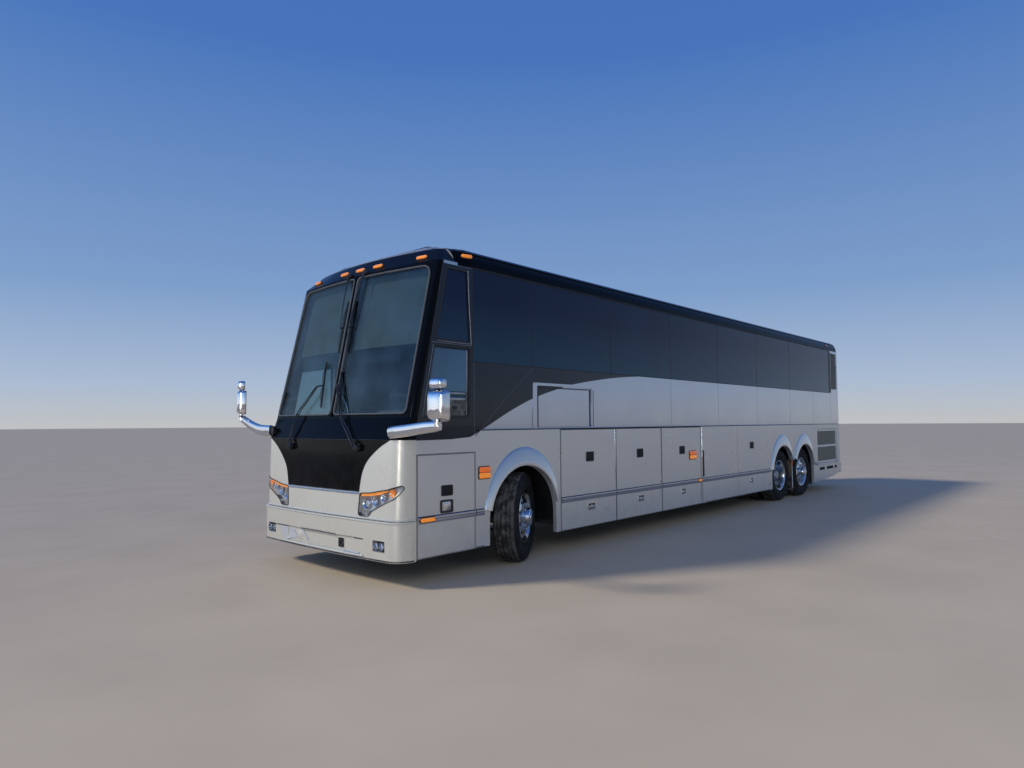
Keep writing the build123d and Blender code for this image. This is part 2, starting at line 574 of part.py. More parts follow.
# steering wheels and tag wheels: disc near the outer face, hub standing out
rim_out = spin([(-106.0, RIM_R), (-118.0, 300.0), (-124.0, 300.0), (-122.0, 272.0), (88.0, 262.0), (88.0, 140.0),
                (20.0, 130.0), (20.0, SPINDLE_R + FIT), (130.0, SPINDLE_R + FIT), (130.0, 0.0), (215.0, 0.0),
                (215.0, 70.0), (200.0, 105.0), (150.0, 110.0), (118.0, 150.0), (106.0, 150.0), (106.0, 250.0),
                (122.0, 272.0), (124.0, 300.0), (118.0, 300.0), (106.0, RIM_R)])


def front_wheel(shape, side):
    if side < 0:
        shape = mirror_side(shape)
    return turned(Pos(0, side * WHEEL_OFF, WHEEL_R) * shape, side)


for side, name in ((1, "left"), (-1, "right")):
    node("front_%s_tyre" % name, front_wheel(tyre0, side))
    node("front_%s_rim" % name, front_wheel(rim_out, side))

# twin wheels: the outer disc is set deep, the inner disc lies against it
rim_dual = spin([(-106.0, RIM_R), (-118.0, 300.0), (-124.0, 300.0), (-122.0, 272.0), (-108.0, 262.0), (-108.0, 95.0),
                 (-150.0, 95.0), (-150.0, SPINDLE_R + FIT), (45.0, SPINDLE_R + FIT), (45.0, 0.0), (75.0, 0.0),
                 (75.0, 80.0), (60.0, 95.0), (-60.0, 110.0), (-80.0, 150.0), (-90.0, 150.0), (-90.0, 250.0),
                 (-60.0, 268.0), (122.0, 272.0), (124.0, 300.0), (118.0, 300.0), (106.0, RIM_R)])
rim_dual_in = spin([(-106.0, RIM_R), (-118.0, 300.0), (-124.0, 300.0), (-122.0, 272.0), (92.0, 262.0), (92.0, 90.0),
                    (40.0, 90.0), (40.0, SPINDLE_R + FIT), (185.0, SPINDLE_R + FIT), (185.0, 95.0), (112.0, 120.0),
                    (112.0, 262.0), (122.0, 272.0), (124.0, 300.0), (118.0, 300.0), (106.0, RIM_R)])
for side, name in ((1, "left"), (-1, "right")):
    t_out = Pos(DRIVE_X, DUAL_OUT, WHEEL_R) * tyre0
    t_in = Pos(DRIVE_X, DUAL_IN, WHEEL_R) * tyre0
    r_out = Pos(DRIVE_X, DUAL_OUT, WHEEL_R) * rim_dual
    r_in = Pos(DRIVE_X, DUAL_IN, WHEEL_R) * rim_dual_in
    g_t = Pos(TAG_X, DUAL_OUT, WHEEL_R) * tyre0
    g_r = Pos(TAG_X, DUAL_OUT, WHEEL_R) * rim_out
    group = [[t_out, t_in], [r_out, r_in], [g_t], [g_r]]
    if side < 0:
        group = [[mirror_side(s) for s in g] for g in group]
    node("drive_%s_tyres" % name, group[0])
    node("drive_%s_rims" % name, group[1])
    node("tag_%s_tyre" % name, group[2])
    node("tag_%s_rim" % name, group[3])

# ---------------------------------------------------------------- engine
# the engine and the radiator beside it
node("engine", box(-11560.0, -9990.0, -450.0, 450.0, 480.0, 1380.0),
     box(RAD_B + 80.0, RAD_F - 80.0, 1040.0, 1140.0, 690.0, 1395.0))

# ---------------------------------------------------------------- mirrors
# the two arms differ: the left one lies level, the right one climbs outwards
# side, arm outline (y, z), main head (z0, z1), small head (z0, z1), how far the heads turn towards the driver
MIRRORS = [
    (1, [(1000.0, 1480.0), (1000.0, 1602.0), (1500.0, 1613.0), (1890.0, 1624.0), (1923.0, 1606.0), (1915.0, 1568.0),
         (1700.0, 1536.0), (1400.0, 1500.0), (1240.0, 1483.0)], (1632.0, 1922.0), (1930.0, 2036.0), 10.0),
    (-1, [(1000.0, 1496.0), (1000.0, 1600.0), (1420.0, 1600.0), (1700.0, 1660.0), (1890.0, 1740.0), (1925.0, 1725.0),
          (1915.0, 1640.0), (1700.0, 1545.0), (1500.0, 1488.0), (1400.0, 1482.0)], (1748.0, 2052.0), (2062.0, 2173.0), 28.0),
]
mirror_solids = []
for side, outline, main, small, turn in MIRRORS:
    c, s = math.cos(math.radians(turn)), math.sin(math.radians(turn))
    cx = 1985.0 - (30.0 * c + 75.0 * s + 30.0)
    cy = 1985.0 - (75.0 * c + 30.0 * s + 30.0)
    m = prism_x([(side * y, z) for y, z in outline], 1835.0, 1905.0)
    m += bar((1700.0, side * 1060.0, 1550.0), (1850.0, side * 1060.0, 1550.0), 70.0, 60.0)
    for (za, zb), hx, hy, r in ((main, 60.0, 105.0, 30.0), (small, 45.0, 78.0, 22.0)):
        h = box(-hx, hx, -hy, hy, za, zb)
        m += Pos(cx, side * cy, 0) * (Rot(0, 0, side * turn) * fillet(h.edges(), r))
    m += box(cx - 15.0, cx + 15.0, side * (cy - 20.0), side * (cy + 20.0), main[0] - 75.0, small[1] - 20.0)
    m += box(cx - 20.0, cx + 20.0, side * (cy - 30.0), side * (cy + 30.0), main[0] - 85.0, main[0] - 40.0)
    mirror_solids.append(m - nose(P_MASK_LOW, P_MASK_MID) - mask_top)
node("mirrors", mirror_solids)


# ---------------------------------------------------------------- wipers
def on_screen(y, z, out=25.0):
    """point in front of the screen"""
    f = (z - P_SILL["z"]) / (P_HEAD["z"] - P_SILL["z"])
    xm = P_SILL["xm"] + (P_HEAD["xm"] - P_SILL["xm"]) * f
    xc = P_SILL["xc"] + (P_HEAD["xc"] - P_SILL["xc"]) * f
    return (xm - (xm - xc) * (y / 1240.0) ** 2 + out, y, z)


# lower pair: pivot (x, y, z), bend (y, z), elbow (y, z), blade low (y, z), blade high (y, z)
LOW_WIPERS = [
    ((1948.0, 660.0, 1370.0), (255.0, 1690.0), (62.0, 2061.0), (174.0, 1750.0), (48.0, 2190.0)),
    ((1948.0, -627.0, 1366.0), (-654.0, 1732.0), (-343.0, 2048.0), (-233.0, 1805.0), (-291.0, 2314.0)),
]
# upper pair: pivot (y, z), elbow (y, z), blade low (y, z), blade high (y, z)
TOP_WIPERS = [
    ((150.0, 3345.0), (75.0, 2700.0), (80.0, 2420.0), (60.0, 3010.0)),
    ((-150.0, 3345.0), (-80.0, 2700.0), (-85.0, 2420.0), (-70.0, 3010.0)),
]
wipers = []
for piv, bend, elb, b0, b1 in LOW_WIPERS:
    e = on_screen(*elb, out=52.0)
    m = on_screen(*bend, out=54.0)
    w = bar(piv, m, 24.0, 20.0)
    w += bar(m, e, 24.0, 16.0)
    w += bar((piv[0] - 48.0, piv[1], piv[2]), (piv[0] + 14.0, piv[1], piv[2]), 56.0)
    w += bar(on_screen(*b0, out=34.0), on_screen(*b1, out=34.0), 26.0, 30.0)
    foot = on_screen((b0[0] + b1[0]) / 2, (b0[1] + b1[1]) / 2, out=40.0)
    w += bar(e, foot, 20.0)
    wipers.append(w - frame - header - mask)
for piv, elb, b0, b1 in TOP_WIPERS:
    p = on_screen(*piv, out=20.0)
    e = on_screen(*elb, out=50.0)
    w = bar(p, e, 26.0, 16.0)
    w += bar((p[0] - 40.0, p[1], p[2]), (p[0] + 15.0, p[1], p[2]), 60.0)
    w += bar(on_screen(*b0, out=34.0), on_screen(*b1, out=34.0), 26.0, 30.0)
    w += bar(on_screen(*elb, out=20.0), on_screen(*elb, out=62.0), 34.0)
    wipers.append(w - frame - header)
node("wipers", wipers)

# ---------------------------------------------------------------- cabin
dash = prism_y([(1240.0, 1152.0), (1240.0, 1560.0), (1330.0, 1640.0), (1600.0, 1640.0), (1600.0, 1152.0)], -240.0, 1190.0)
COL_LOW = (1400.0, 640.0, 1500.0)
COL_TOP = (1230.0, 640.0, 1790.0)
dash += bar(COL_LOW, COL_TOP, 70.0)
node("dashboard", dash)

col_axis = Vector(*COL_TOP) - Vector(*COL_LOW)
col_dir = col_axis.normalized()
wheel_plane = Plane(origin=tuple(Vector(*COL_TOP) + col_dir * 34.0), z_dir=tuple(col_dir))
sw = wheel_plane * Torus(225.0, 15.0)
sw += wheel_plane * Cylinder(48.0, 55.0)
for a in (20.0, 160.0, 270.0):
    r = math.radians(a)
    sw += wheel_plane * (Location((115.0 * math.cos(r), 115.0 * math.sin(r), 0), (0, 0, a)) * Box(190.0, 34.0, 14.0))
node("steering_wheel", sw)

seat = prism_y([(560.0, 1500.0), (570.0, 1600.0), (1010.0, 1620.0), (1040.0, 1560.0), (1020.0, 1500.0)], 390.0, 890.0)
seat += prism_y([(540.0, 1520.0), (500.0, 2290.0), (590.0, 2320.0), (680.0, 1600.0)], 400.0, 880.0)
seat += box(640.0, 940.0, 490.0, 790.0, 1152.0, 1510.0)
node("driver_seat", seat)

SEAT_PITCH = 830.0
rows = []
for i in range(13):
    x = -230.0 - SEAT_PITCH * i
    s = prism_y([(x - 500.0, 1900.0), (x - 500.0, 2000.0), (x, 2010.0), (x + 10.0, 1900.0)], 320.0, 1190.0)
    s += prism_y([(x - 500.0, 1930.0), (x - 660.0, 2640.0), (x - 560.0, 2670.0), (x - 400.0, 1980.0)], 330.0, 1180.0)
    s += box(x - 420.0, x - 120.0, 500.0, 560.0, FLOOR_TOP + 1.0, 1910.0)
    s += box(x - 420.0, x - 120.0, 1000.0, 1060.0, FLOOR_TOP + 1.0, 1910.0)
    rows += both(s)
node("passenger_seats", rows)

rack = prism_x([(760.0, 2900.0), (1225.0, 2960.0), (1225.0, 3225.0), (780.0, 3170.0)], -11300.0, 200.0)
rack -= prism_x([(800.0, 2935.0), (1190.0, 2985.0), (1190.0, 3190.0), (810.0, 3140.0)], -11280.0, 180.0)
node("parcel_racks", both(rack))

# fog lamps in the bumper
fogs = []
for s in (1, -1):
    f = box(1860.0, 1885.0, s * FOG_Y - 86.0, s * FOG_Y + 86.0, FOG_Z - 53.0, FOG_Z + 53.0)
    f += cyl_x(1885.0, 1915.0, s * FOG_Y - 42.0, FOG_Z, 34.0) + cyl_x(1885.0, 1915.0, s * FOG_Y + 42.0, FOG_Z, 34.0)
    fogs.append(f)
node("front_lamps", lamps, fogs)

# ---------------------------------------------------------------- write
for name, shape in NODES.items():
    export_step(shape, "parts/%s.step" % name)
allbb = None
for shape in NODES.values():
    b = shape.bounding_box()
    allbb = b if allbb is None else allbb.add(b)
print("nodes", len(NODES), "box", allbb.min, allbb.max)
print("tie", TIE_X, TIE_YL, TIE_YR)
print("column", tuple(col_dir))
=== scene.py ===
import math
import random

import bmesh
import bpy
import numpy as np
from mathutils import Matrix, Vector
from mathutils.bvhtree import BVHTree
from mathutils.geometry import delaunay_2d_cdt


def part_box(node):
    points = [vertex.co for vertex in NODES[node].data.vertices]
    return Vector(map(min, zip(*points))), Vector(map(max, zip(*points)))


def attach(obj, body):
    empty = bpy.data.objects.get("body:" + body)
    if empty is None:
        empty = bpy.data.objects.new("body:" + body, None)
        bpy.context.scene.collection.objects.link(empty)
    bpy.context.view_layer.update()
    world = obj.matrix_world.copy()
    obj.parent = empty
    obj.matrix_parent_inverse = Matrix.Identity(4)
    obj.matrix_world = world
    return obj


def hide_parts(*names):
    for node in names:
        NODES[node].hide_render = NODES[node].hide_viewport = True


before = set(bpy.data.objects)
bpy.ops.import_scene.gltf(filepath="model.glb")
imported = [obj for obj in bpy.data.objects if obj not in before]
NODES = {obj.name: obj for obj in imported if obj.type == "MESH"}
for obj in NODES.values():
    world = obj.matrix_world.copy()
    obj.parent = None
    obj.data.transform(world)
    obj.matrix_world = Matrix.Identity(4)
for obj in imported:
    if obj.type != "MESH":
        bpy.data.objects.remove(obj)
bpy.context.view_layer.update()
RNG = random.Random(11)

# Lengths are in metres, measured from the front axle: x forward, y to the left side, z up.
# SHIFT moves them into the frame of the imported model.
SHIFT = 5.0475


# ---------------------------------------------------------------- mesh helpers
class Geo:
    """Collects faces in front-axle coordinates and makes one object of them."""

    def __init__(self):
        self.v, self.f, self.m = [], [], []

    def add(self, verts, faces, mat=0):
        n = len(self.v)
        self.v.extend((float(p[0]), float(p[1]), float(p[2])) for p in verts)
        self.f.extend(tuple(i + n for i in f) for f in faces)
        self.m.extend([mat] * len(faces))

    def done(self, name, mats, body="body", replaces=(), sharp=32, bevel=0):
        me = bpy.data.meshes.new(name)
        me.from_pydata([(x + SHIFT, y, z) for x, y, z in self.v], [], self.f)
        for m in mats:
            me.materials.append(m)
        me.polygons.foreach_set("material_index", self.m)
        bm = bmesh.new()
        bm.from_mesh(me)
        bmesh.ops.recalc_face_normals(bm, faces=bm.faces)
        bm.to_mesh(me)
        bm.free()
        me.shade_smooth()
        me.set_sharp_from_angle(angle=math.radians(sharp))
        me.validate()
        o = bpy.data.objects.new(name, me)
        bpy.context.scene.collection.objects.link(o)
        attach(o, body)
        if replaces:
            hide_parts(*replaces)
        return o


def unit(v):
    v = Vector(v)
    return v / max(v.length, 1e-12)


def inset(poly, d):
    """A closed outline moved inwards by d; poly runs either way round."""
    n = len(poly)
    area = sum(poly[i][0] * poly[(i + 1) % n][1] - poly[(i + 1) % n][0] * poly[i][1] for i in range(n))
    s = 1 if area > 0 else -1
    out = []
    for i in range(n):
        a, b, c = Vector(poly[i - 1]), Vector(poly[i]), Vector(poly[(i + 1) % n])
        e1, e2 = b - a, c - b
        if e1.length < 1e-9 or e2.length < 1e-9:
            out.append(tuple(b))
            continue
        n1 = Vector((-e1.y, e1.x)).normalized() * s
        n2 = Vector((-e2.y, e2.x)).normalized() * s
        k = n1 + n2
        if k.length < 1e-6:
            k = n1
        k.normalize()
        out.append(tuple(b + k * d / max(k.dot(n1), 0.35)))
    return out


def frame_of(axis):
    """Axis letter to a map from (u, v, w) to a point, w along the axis."""
    return {"x": lambda u, v, w: (w, u, v), "y": lambda u, v, w: (u, w, v), "z": lambda u, v, w: (u, v, w)}[axis]


def prism(g, outline, axis, lo, hi, mat=0, r=0.0, both=True):
    """An outline pushed along an axis, its edges at hi (and lo) rounded by r."""
    put = frame_of(axis) if isinstance(axis, str) else axis
    rings = []
    if r > 0:
        k = 1 if hi > lo else -1
        steps = ((0.0, 1.0), (0.29, 0.29), (1.0, 0.0))
        if both:
            rings += [(inset(outline, r * (b)), lo + k * r * (a)) for a, b in steps]
        else:
            rings.append((outline, lo))
        rings += [(inset(outline, r * (b)), hi - k * r * (a)) for a, b in reversed(steps)]
    else:
        rings = [(outline, lo), (outline, hi)]
    verts, faces, n = [], [], len(outline)
    for poly, w in rings:
        verts.extend(put(u, v, w) for u, v in poly)
    for j in range(len(rings) - 1):
        for i in range(n):
            a, b = j * n + i, j * n + (i + 1) % n
            faces.append((a, b, b + n, a + n))
    faces.append(tuple(range(n - 1, -1, -1)))
    faces.append(tuple(range((len(rings) - 1) * n, len(rings) * n)))
    g.add(verts, faces, mat)


def rect(u0, u1, v0, v1, r=0.0, n=4):
    """A rectangle outline with round corners."""
    u0, u1, v0, v1 = min(u0, u1), max(u0, u1), min(v0, v1), max(v0, v1)
    if r <= 0:
        return [(u0, v0), (u1, v0), (u1, v1), (u0, v1)]
    r = min(r, (u1 - u0) / 2.001, (v1 - v0) / 2.001)
    out = []
    for cu, cv, a0 in ((u1 - r, v0 + r, -90), (u1 - r, v1 - r, 0), (u0 + r, v1 - r, 90), (u0 + r, v0 + r, 180)):
        for i in range(n + 1):
            a = math.radians(a0 + 90 * i / n)
            out.append((cu + r * math.cos(a), cv + r * math.sin(a)))
    return out


def soften(poly, r, n=3):
    """An outline with each corner cut back by r and rounded."""
    out = []
    m = len(poly)
    for i in range(m):
        a, b, c = Vector(poly[i - 1]), Vector(poly[i]), Vector(poly[(i + 1) % m])
        k = min(r, (a - b).length * 0.45, (c - b).length * 0.45)
        p, q = b + (a - b).normalized() * k, b + (c - b).normalized() * k
        for j in range(n + 1):
            t = j / n
            out.append(tuple(p * (1 - t) ** 2 + b * 2 * t * (1 - t) + q * t * t))
    return out


def box(g, lo, hi, mat=0, r=0.004):
    lo, hi = [min(a, b) for a, b in zip(lo, hi)], [max(a, b) for a, b in zip(lo, hi)]
    r = min(r, min(h - l for l, h in zip(lo, hi)) * 0.45)
    prism(g, rect(lo[1], hi[1], lo[2], hi[2], r * 1.2, 2), "x", lo[0], hi[0], mat, r)


def circle(cu, cv, r, n=32, a0=0.0):
    return [(cu + r * math.cos(a0 + 2 * math.pi * i / n), cv + r * math.sin(a0 + 2 * math.pi * i / n)) for i in range(n)]


def tube(g, pts, r, n=10, mat=0, caps=True, radii=None, squeeze=None):
    """A round bar along points, with frames carried along it."""
    pts = [Vector(p) for p in pts]
    t0 = unit(pts[1] - pts[0])
    up = Vector((0, 0, 1)) if abs(t0.z) < 0.9 else Vector((1, 0, 0))
    a = unit(t0.cross(up))
    verts, faces = [], []
    for i, p in enumerate(pts):
        t = unit(pts[min(i + 1, len(pts) - 1)] - pts[max(i - 1, 0)])
        a = unit(a - t * a.dot(t))
        b = t.cross(a)
        rr = radii[i] if radii else r
        for j in range(n):
            w = 2 * math.pi * j / n
            k = squeeze if squeeze else 1.0
            verts.append(p + a * rr * math.cos(w) + b * rr * k * math.sin(w))
    for i in range(len(pts) - 1):
        for j in range(n):
            q, s = i * n + j, i * n + (j + 1) % n
            faces.append((q, s, s + n, q + n))
    if caps:
        faces.append(tuple(range(n - 1, -1, -1)))
        faces.append(tuple(range((len(pts) - 1) * n, len(pts) * n)))
    g.add(verts, faces, mat)


def smooth_path(pts, n=8):
    """Catmull-Rom points through pts."""
    p = [Vector(q) for q in pts]
    p = [p[0] * 2 - p[1]] + p + [p[-1] * 2 - p[-2]]
    out = []
    for i in range(1, len(p) - 2):
        for j in range(n):
            t = j / n
            a, b, c, d = p[i - 1], p[i], p[i + 1], p[i + 2]
            out.append(0.5 * ((2 * b) + (c - a) * t + (2 * a - 5 * b + 4 * c - d) * t * t + (3 * b - a - 3 * c + d) * t ** 3))
    out.append(p[-2])
    return out


def basis(axis):
    w = unit(axis)
    up = Vector((0, 0, 1)) if abs(w.z) < 0.9 else Vector((1, 0, 0))
    u = unit(up.cross(w))
    return u, w.cross(u), w


def lathe(g, profile, centre, axis, n=48, mat=0, close=False, turn=0.0):
    """A profile of (along, radius) turned about an axis. mat may be a list, one for each span."""
    u, v, w = basis(axis)
    c = Vector(centre)
    verts, rows = [], []
    for s, r in profile:
        if r < 1e-6:
            rows.append([len(verts)])
            verts.append(c + w * s)
            continue
        rows.append(list(range(len(verts), len(verts) + n)))
        for i in range(n):
            a = turn + 2 * math.pi * i / n
            verts.append(c + w * s + (u * math.cos(a) + v * math.sin(a)) * r)
    spans = list(zip(rows, rows[1:])) + ([(rows[-1], rows[0])] if close else [])
    start = len(g.v)
    g.add(verts, [], 0)
    for k, (a, b) in enumerate(spans):
        m = mat[min(k, len(mat) - 1)] if isinstance(mat, (list, tuple)) else mat
        for i in range(n):
            j = (i + 1) % n
            if len(a) == 1 and len(b) == 1:
                continue
            if len(a) == 1:
                f = (a[0], b[j], b[i])
            elif len(b) == 1:
                f = (a[i], a[j], b[0])
            else:
                f = (a[i], a[j], b[j], b[i])
            g.f.append(tuple(q + start for q in f))
            g.m.append(m)


def inside(pts, poly):
    pts = np.asarray(pts, float).reshape(-1, 2)
    x, y = pts[:, 0], pts[:, 1]
    res = np.zeros(len(pts), bool)
    n = len(poly)
    for i in range(n):
        x0, y0 = poly[i - 1]
        x1, y1 = poly[i]
        if y0 == y1:
            continue
        hit = ((y0 > y) != (y1 > y)) & (x < (x1 - x0) * (y - y0) / (y1 - y0) + x0)
        res ^= hit
    return res


def region(outer, holes=(), step=0.1):
    """Triangles over an outline with holes, with extra points so that it follows a curved surface."""
    pts, edges = [], []
    loops = [list(outer)] + [list(h) for h in holes]
    for loop in loops:
        start = len(pts)
        for i in range(len(loop)):
            a, b = Vector(loop[i]), Vector(loop[(i + 1) % len(loop)])
            k = max(1, int(math.ceil((b - a).length / step)))
            for j in range(k):
                pts.append(a + (b - a) * (j / k))
        n = len(pts) - start
        edges.extend((start + i, start + (i + 1) % n) for i in range(n))
    rim = np.array([tuple(p) for p in pts])
    lo, hi = rim.min(0), rim.max(0)
    us = np.arange(lo[0] + step * 0.5, hi[0], step)
    vs = np.arange(lo[1] + step * 0.5, hi[1], step)
    if len(us) and len(vs) and len(us) * len(vs) < 40000:
        grid = np.array([(u, v) for u in us for v in vs])
        ok = inside(grid, outer)
        for h in holes:
            ok &= ~inside(grid, h)
        grid = grid[ok]
        for p in grid:
            if np.min(np.abs(rim - p).sum(1)) > step * 0.45:
                pts.append(Vector(p))
    vs2, _, fs, *_ = delaunay_2d_cdt(pts, edges, [], 0, 1e-7)
    cent = np.array([[sum(vs2[i].x for i in f) / len(f), sum(vs2[i].y for i in f) / len(f)] for f in fs])
    ok = inside(cent, outer)
    for h in holes:
        ok &= ~inside(cent, h)
    return [tuple(v) for v in vs2], [tuple(f) for f, k in zip(fs, ok) if k]


def skin(g, outer, holes, put, thick=0.003, mat=0, step=0.1, back=0.0008):
    """A thin panel over a surface. put(u, v) gives the point on it and its outward normal."""
    vs, fs = region(outer, holes, step)
    used = sorted({i for f in fs for i in f})
    at = {i: k for k, i in enumerate(used)}
    top, low = [], []
    for i in used:
        p, n = put(*vs[i])
        p, n = Vector(p), unit(n)
        top.append(p + n * thick)
        low.append(p - n * back)
    fs = [tuple(at[i] for i in f) for f in fs]
    count = {}
    for f in fs:
        for a, b in zip(f, f[1:] + f[:1]):
            count[(a, b)] = count.get((a, b), 0) + 1
    n = len(top)
    side = [(a, b, b + n, a + n) for (a, b) in count if (b, a) not in count]
    g.add(top + low, fs + [tuple(i + n for i in reversed(f)) for f in fs] + side, mat)


def flat_put(axis, w, sign=1):
    put = frame_of(axis)
    n = {"x": (sign, 0, 0), "y": (0, sign, 0), "z": (0, 0, sign)}[axis]
    return lambda u, v: (put(u, v, w), n)


def caster(*names):
    """A function that finds where a ray meets the named nodes, in front-axle coordinates."""
    vs, fs = [], []
    for name in names:
        me = NODES[name].data
        k = len(vs)
        vs.extend((v.co.x - SHIFT, v.co.y, v.co.z) for v in me.vertices)
        fs.extend([i + k for i in p.vertices] for p in me.polygons)
    tree = BVHTree.FromPolygons(vs, fs)

    def cast(origin, direction, fallback=None):
        d = unit(direction)
        hit, normal, _, _ = tree.ray_cast(Vector(origin), d)
        if hit is None:
            if fallback is None:
                near, normal, _, _ = tree.find_nearest(Vector(origin))
                return near, (-normal if normal.dot(d) > 0 else normal)
            return Vector(fallback), -d
        if normal.dot(d) > 0:
            normal = -normal
        return hit, normal

    return cast


# ---------------------------------------------------------------- materials
def material(name, base, rough=0.4, metal=0.0, coat=0.0, coat_rough=0.04, spec=0.5, vary=None, rough_var=None,
             bump=None, dirt=None, sheen=0.0, stretch=None, alt=None, bump2=None, rise=None):
    """One surface finish. vary, rough_var: (scale, amount); bump: (scale, strength, distance);
    dirt: (z low, z high, colour, amount), dust that gathers towards the ground;
    alt: (scale, low, high, colour), patches of a second colour; stretch: noise scale on each axis;
    rise: (z low, z high, colour), a second colour towards the bottom."""
    m = bpy.data.materials.new(name)
    m.use_nodes = True
    nt = m.node_tree
    nd, ln = nt.nodes, nt.links
    b = nd["Principled BSDF"]
    b.inputs["Base Color"].default_value = (*base, 1)
    b.inputs["Roughness"].default_value = rough
    b.inputs["Metallic"].default_value = metal
    b.inputs["Coat Weight"].default_value = coat
    b.inputs["Coat Roughness"].default_value = coat_rough
    b.inputs["Specular IOR Level"].default_value = spec
    if sheen:
        b.inputs["Sheen Weight"].default_value = sheen
    co = nd.new("ShaderNodeTexCoord")
    src = co.outputs["Object"]
    if stretch:
        mp = nd.new("ShaderNodeMapping")
        mp.inputs["Scale"].default_value = stretch
        ln.new(src, mp.inputs["Vector"])
        src = mp.outputs["Vector"]

    def noise(scale, detail=3.0):
        n = nd.new("ShaderNodeTexNoise")
        n.inputs["Scale"].default_value = scale
        n.inputs["Detail"].default_value = detail
        ln.new(src, n.inputs["Vector"])
        return n.outputs["Fac"]

    colour = None
    if vary:
        r = nd.new("ShaderNodeValToRGB")
        k = vary[1]
        r.color_ramp.elements[0].position, r.color_ramp.elements[1].position = 0.3, 0.7
        r.color_ramp.elements[0].color = (*[c * (1 - k) for c in base], 1)
        r.color_ramp.elements[1].color = (*[min(1, c * (1 + k)) for c in base], 1)
        ln.new(noise(vary[0]), r.inputs["Fac"])
        colour = r.outputs["Color"]

    def blend(old, new_colour, fac):
        mx = nd.new("ShaderNodeMix")
        mx.data_type = "RGBA"
        ln.new(fac, mx.inputs["Factor"])
        if old is None:
            mx.inputs["A"].default_value = (*base, 1)
        else:
            ln.new(old, mx.inputs["A"])
        mx.inputs["B"].default_value = (*new_colour, 1)
        return mx.outputs["Result"]

    if alt:
        r = nd.new("ShaderNodeMapRange")
        r.inputs["From Min"].default_value, r.inputs["From Max"].default_value = alt[1], alt[2]
        ln.new(noise(alt[0], 5.0), r.inputs["Value"])
        colour = blend(colour, alt[3], r.outputs["Result"])
    if rise:
        sp = nd.new("ShaderNodeSeparateXYZ")
        ln.new(co.outputs["Object"], sp.inputs["Vector"])
        r = nd.new("ShaderNodeMapRange")
        r.inputs["From Min"].default_value, r.inputs["From Max"].default_value = rise[1], rise[0]
        ln.new(sp.outputs["Z"], r.inputs["Value"])
        colour = blend(colour, rise[2], r.outputs["Result"])
    if dirt:
        z0, z1, dc, amount = dirt
        sp = nd.new("ShaderNodeSeparateXYZ")
        ln.new(co.outputs["Object"], sp.inputs["Vector"])
        r = nd.new("ShaderNodeMapRange")
        r.inputs["From Min"].default_value, r.inputs["From Max"].default_value = z1, z0
        r.inputs["To Max"].default_value = amount
        ln.new(sp.outputs["Z"], r.inputs["Value"])
        mu = nd.new("ShaderNodeMath")
        mu.operation = "MULTIPLY"
        n2 = nd.new("ShaderNodeMapRange")
        n2.inputs["From Min"].default_value, n2.inputs["From Max"].default_value = 0.35, 0.62
        ln.new(noise(9.0, 5.0), n2.inputs["Value"])
        ln.new(r.outputs["Result"], mu.inputs[0])
        ln.new(n2.outputs["Result"], mu.inputs[1])
        colour = blend(colour, dc, mu.outputs["Value"])
    if colour is not None:
        ln.new(colour, b.inputs["Base Color"])
    if rough_var:
        r = nd.new("ShaderNodeMapRange")
        r.inputs["From Min"].default_value, r.inputs["From Max"].default_value = 0.3, 0.7
        r.inputs["To Min"].default_value = max(0.0, rough - rough_var[1])
        r.inputs["To Max"].default_value = min(1.0, rough + rough_var[1])
        ln.new(noise(rough_var[0], 4.0), r.inputs["Value"])
        ln.new(r.outputs["Result"], b.inputs["Roughness"])
    last = None
    for item in (bump, bump2):
        if item:
            bp = nd.new("ShaderNodeBump")
            bp.inputs["Strength"].default_value = item[1]
            bp.inputs["Distance"].default_value = item[2]
            ln.new(noise(item[0], 4.0), bp.inputs["Height"])
            if last is not None:
                ln.new(last, bp.inputs["Normal"])
            last = bp.outputs["Normal"]
    if last is not None:
        ln.new(last, b.inputs["Normal"])
    return m


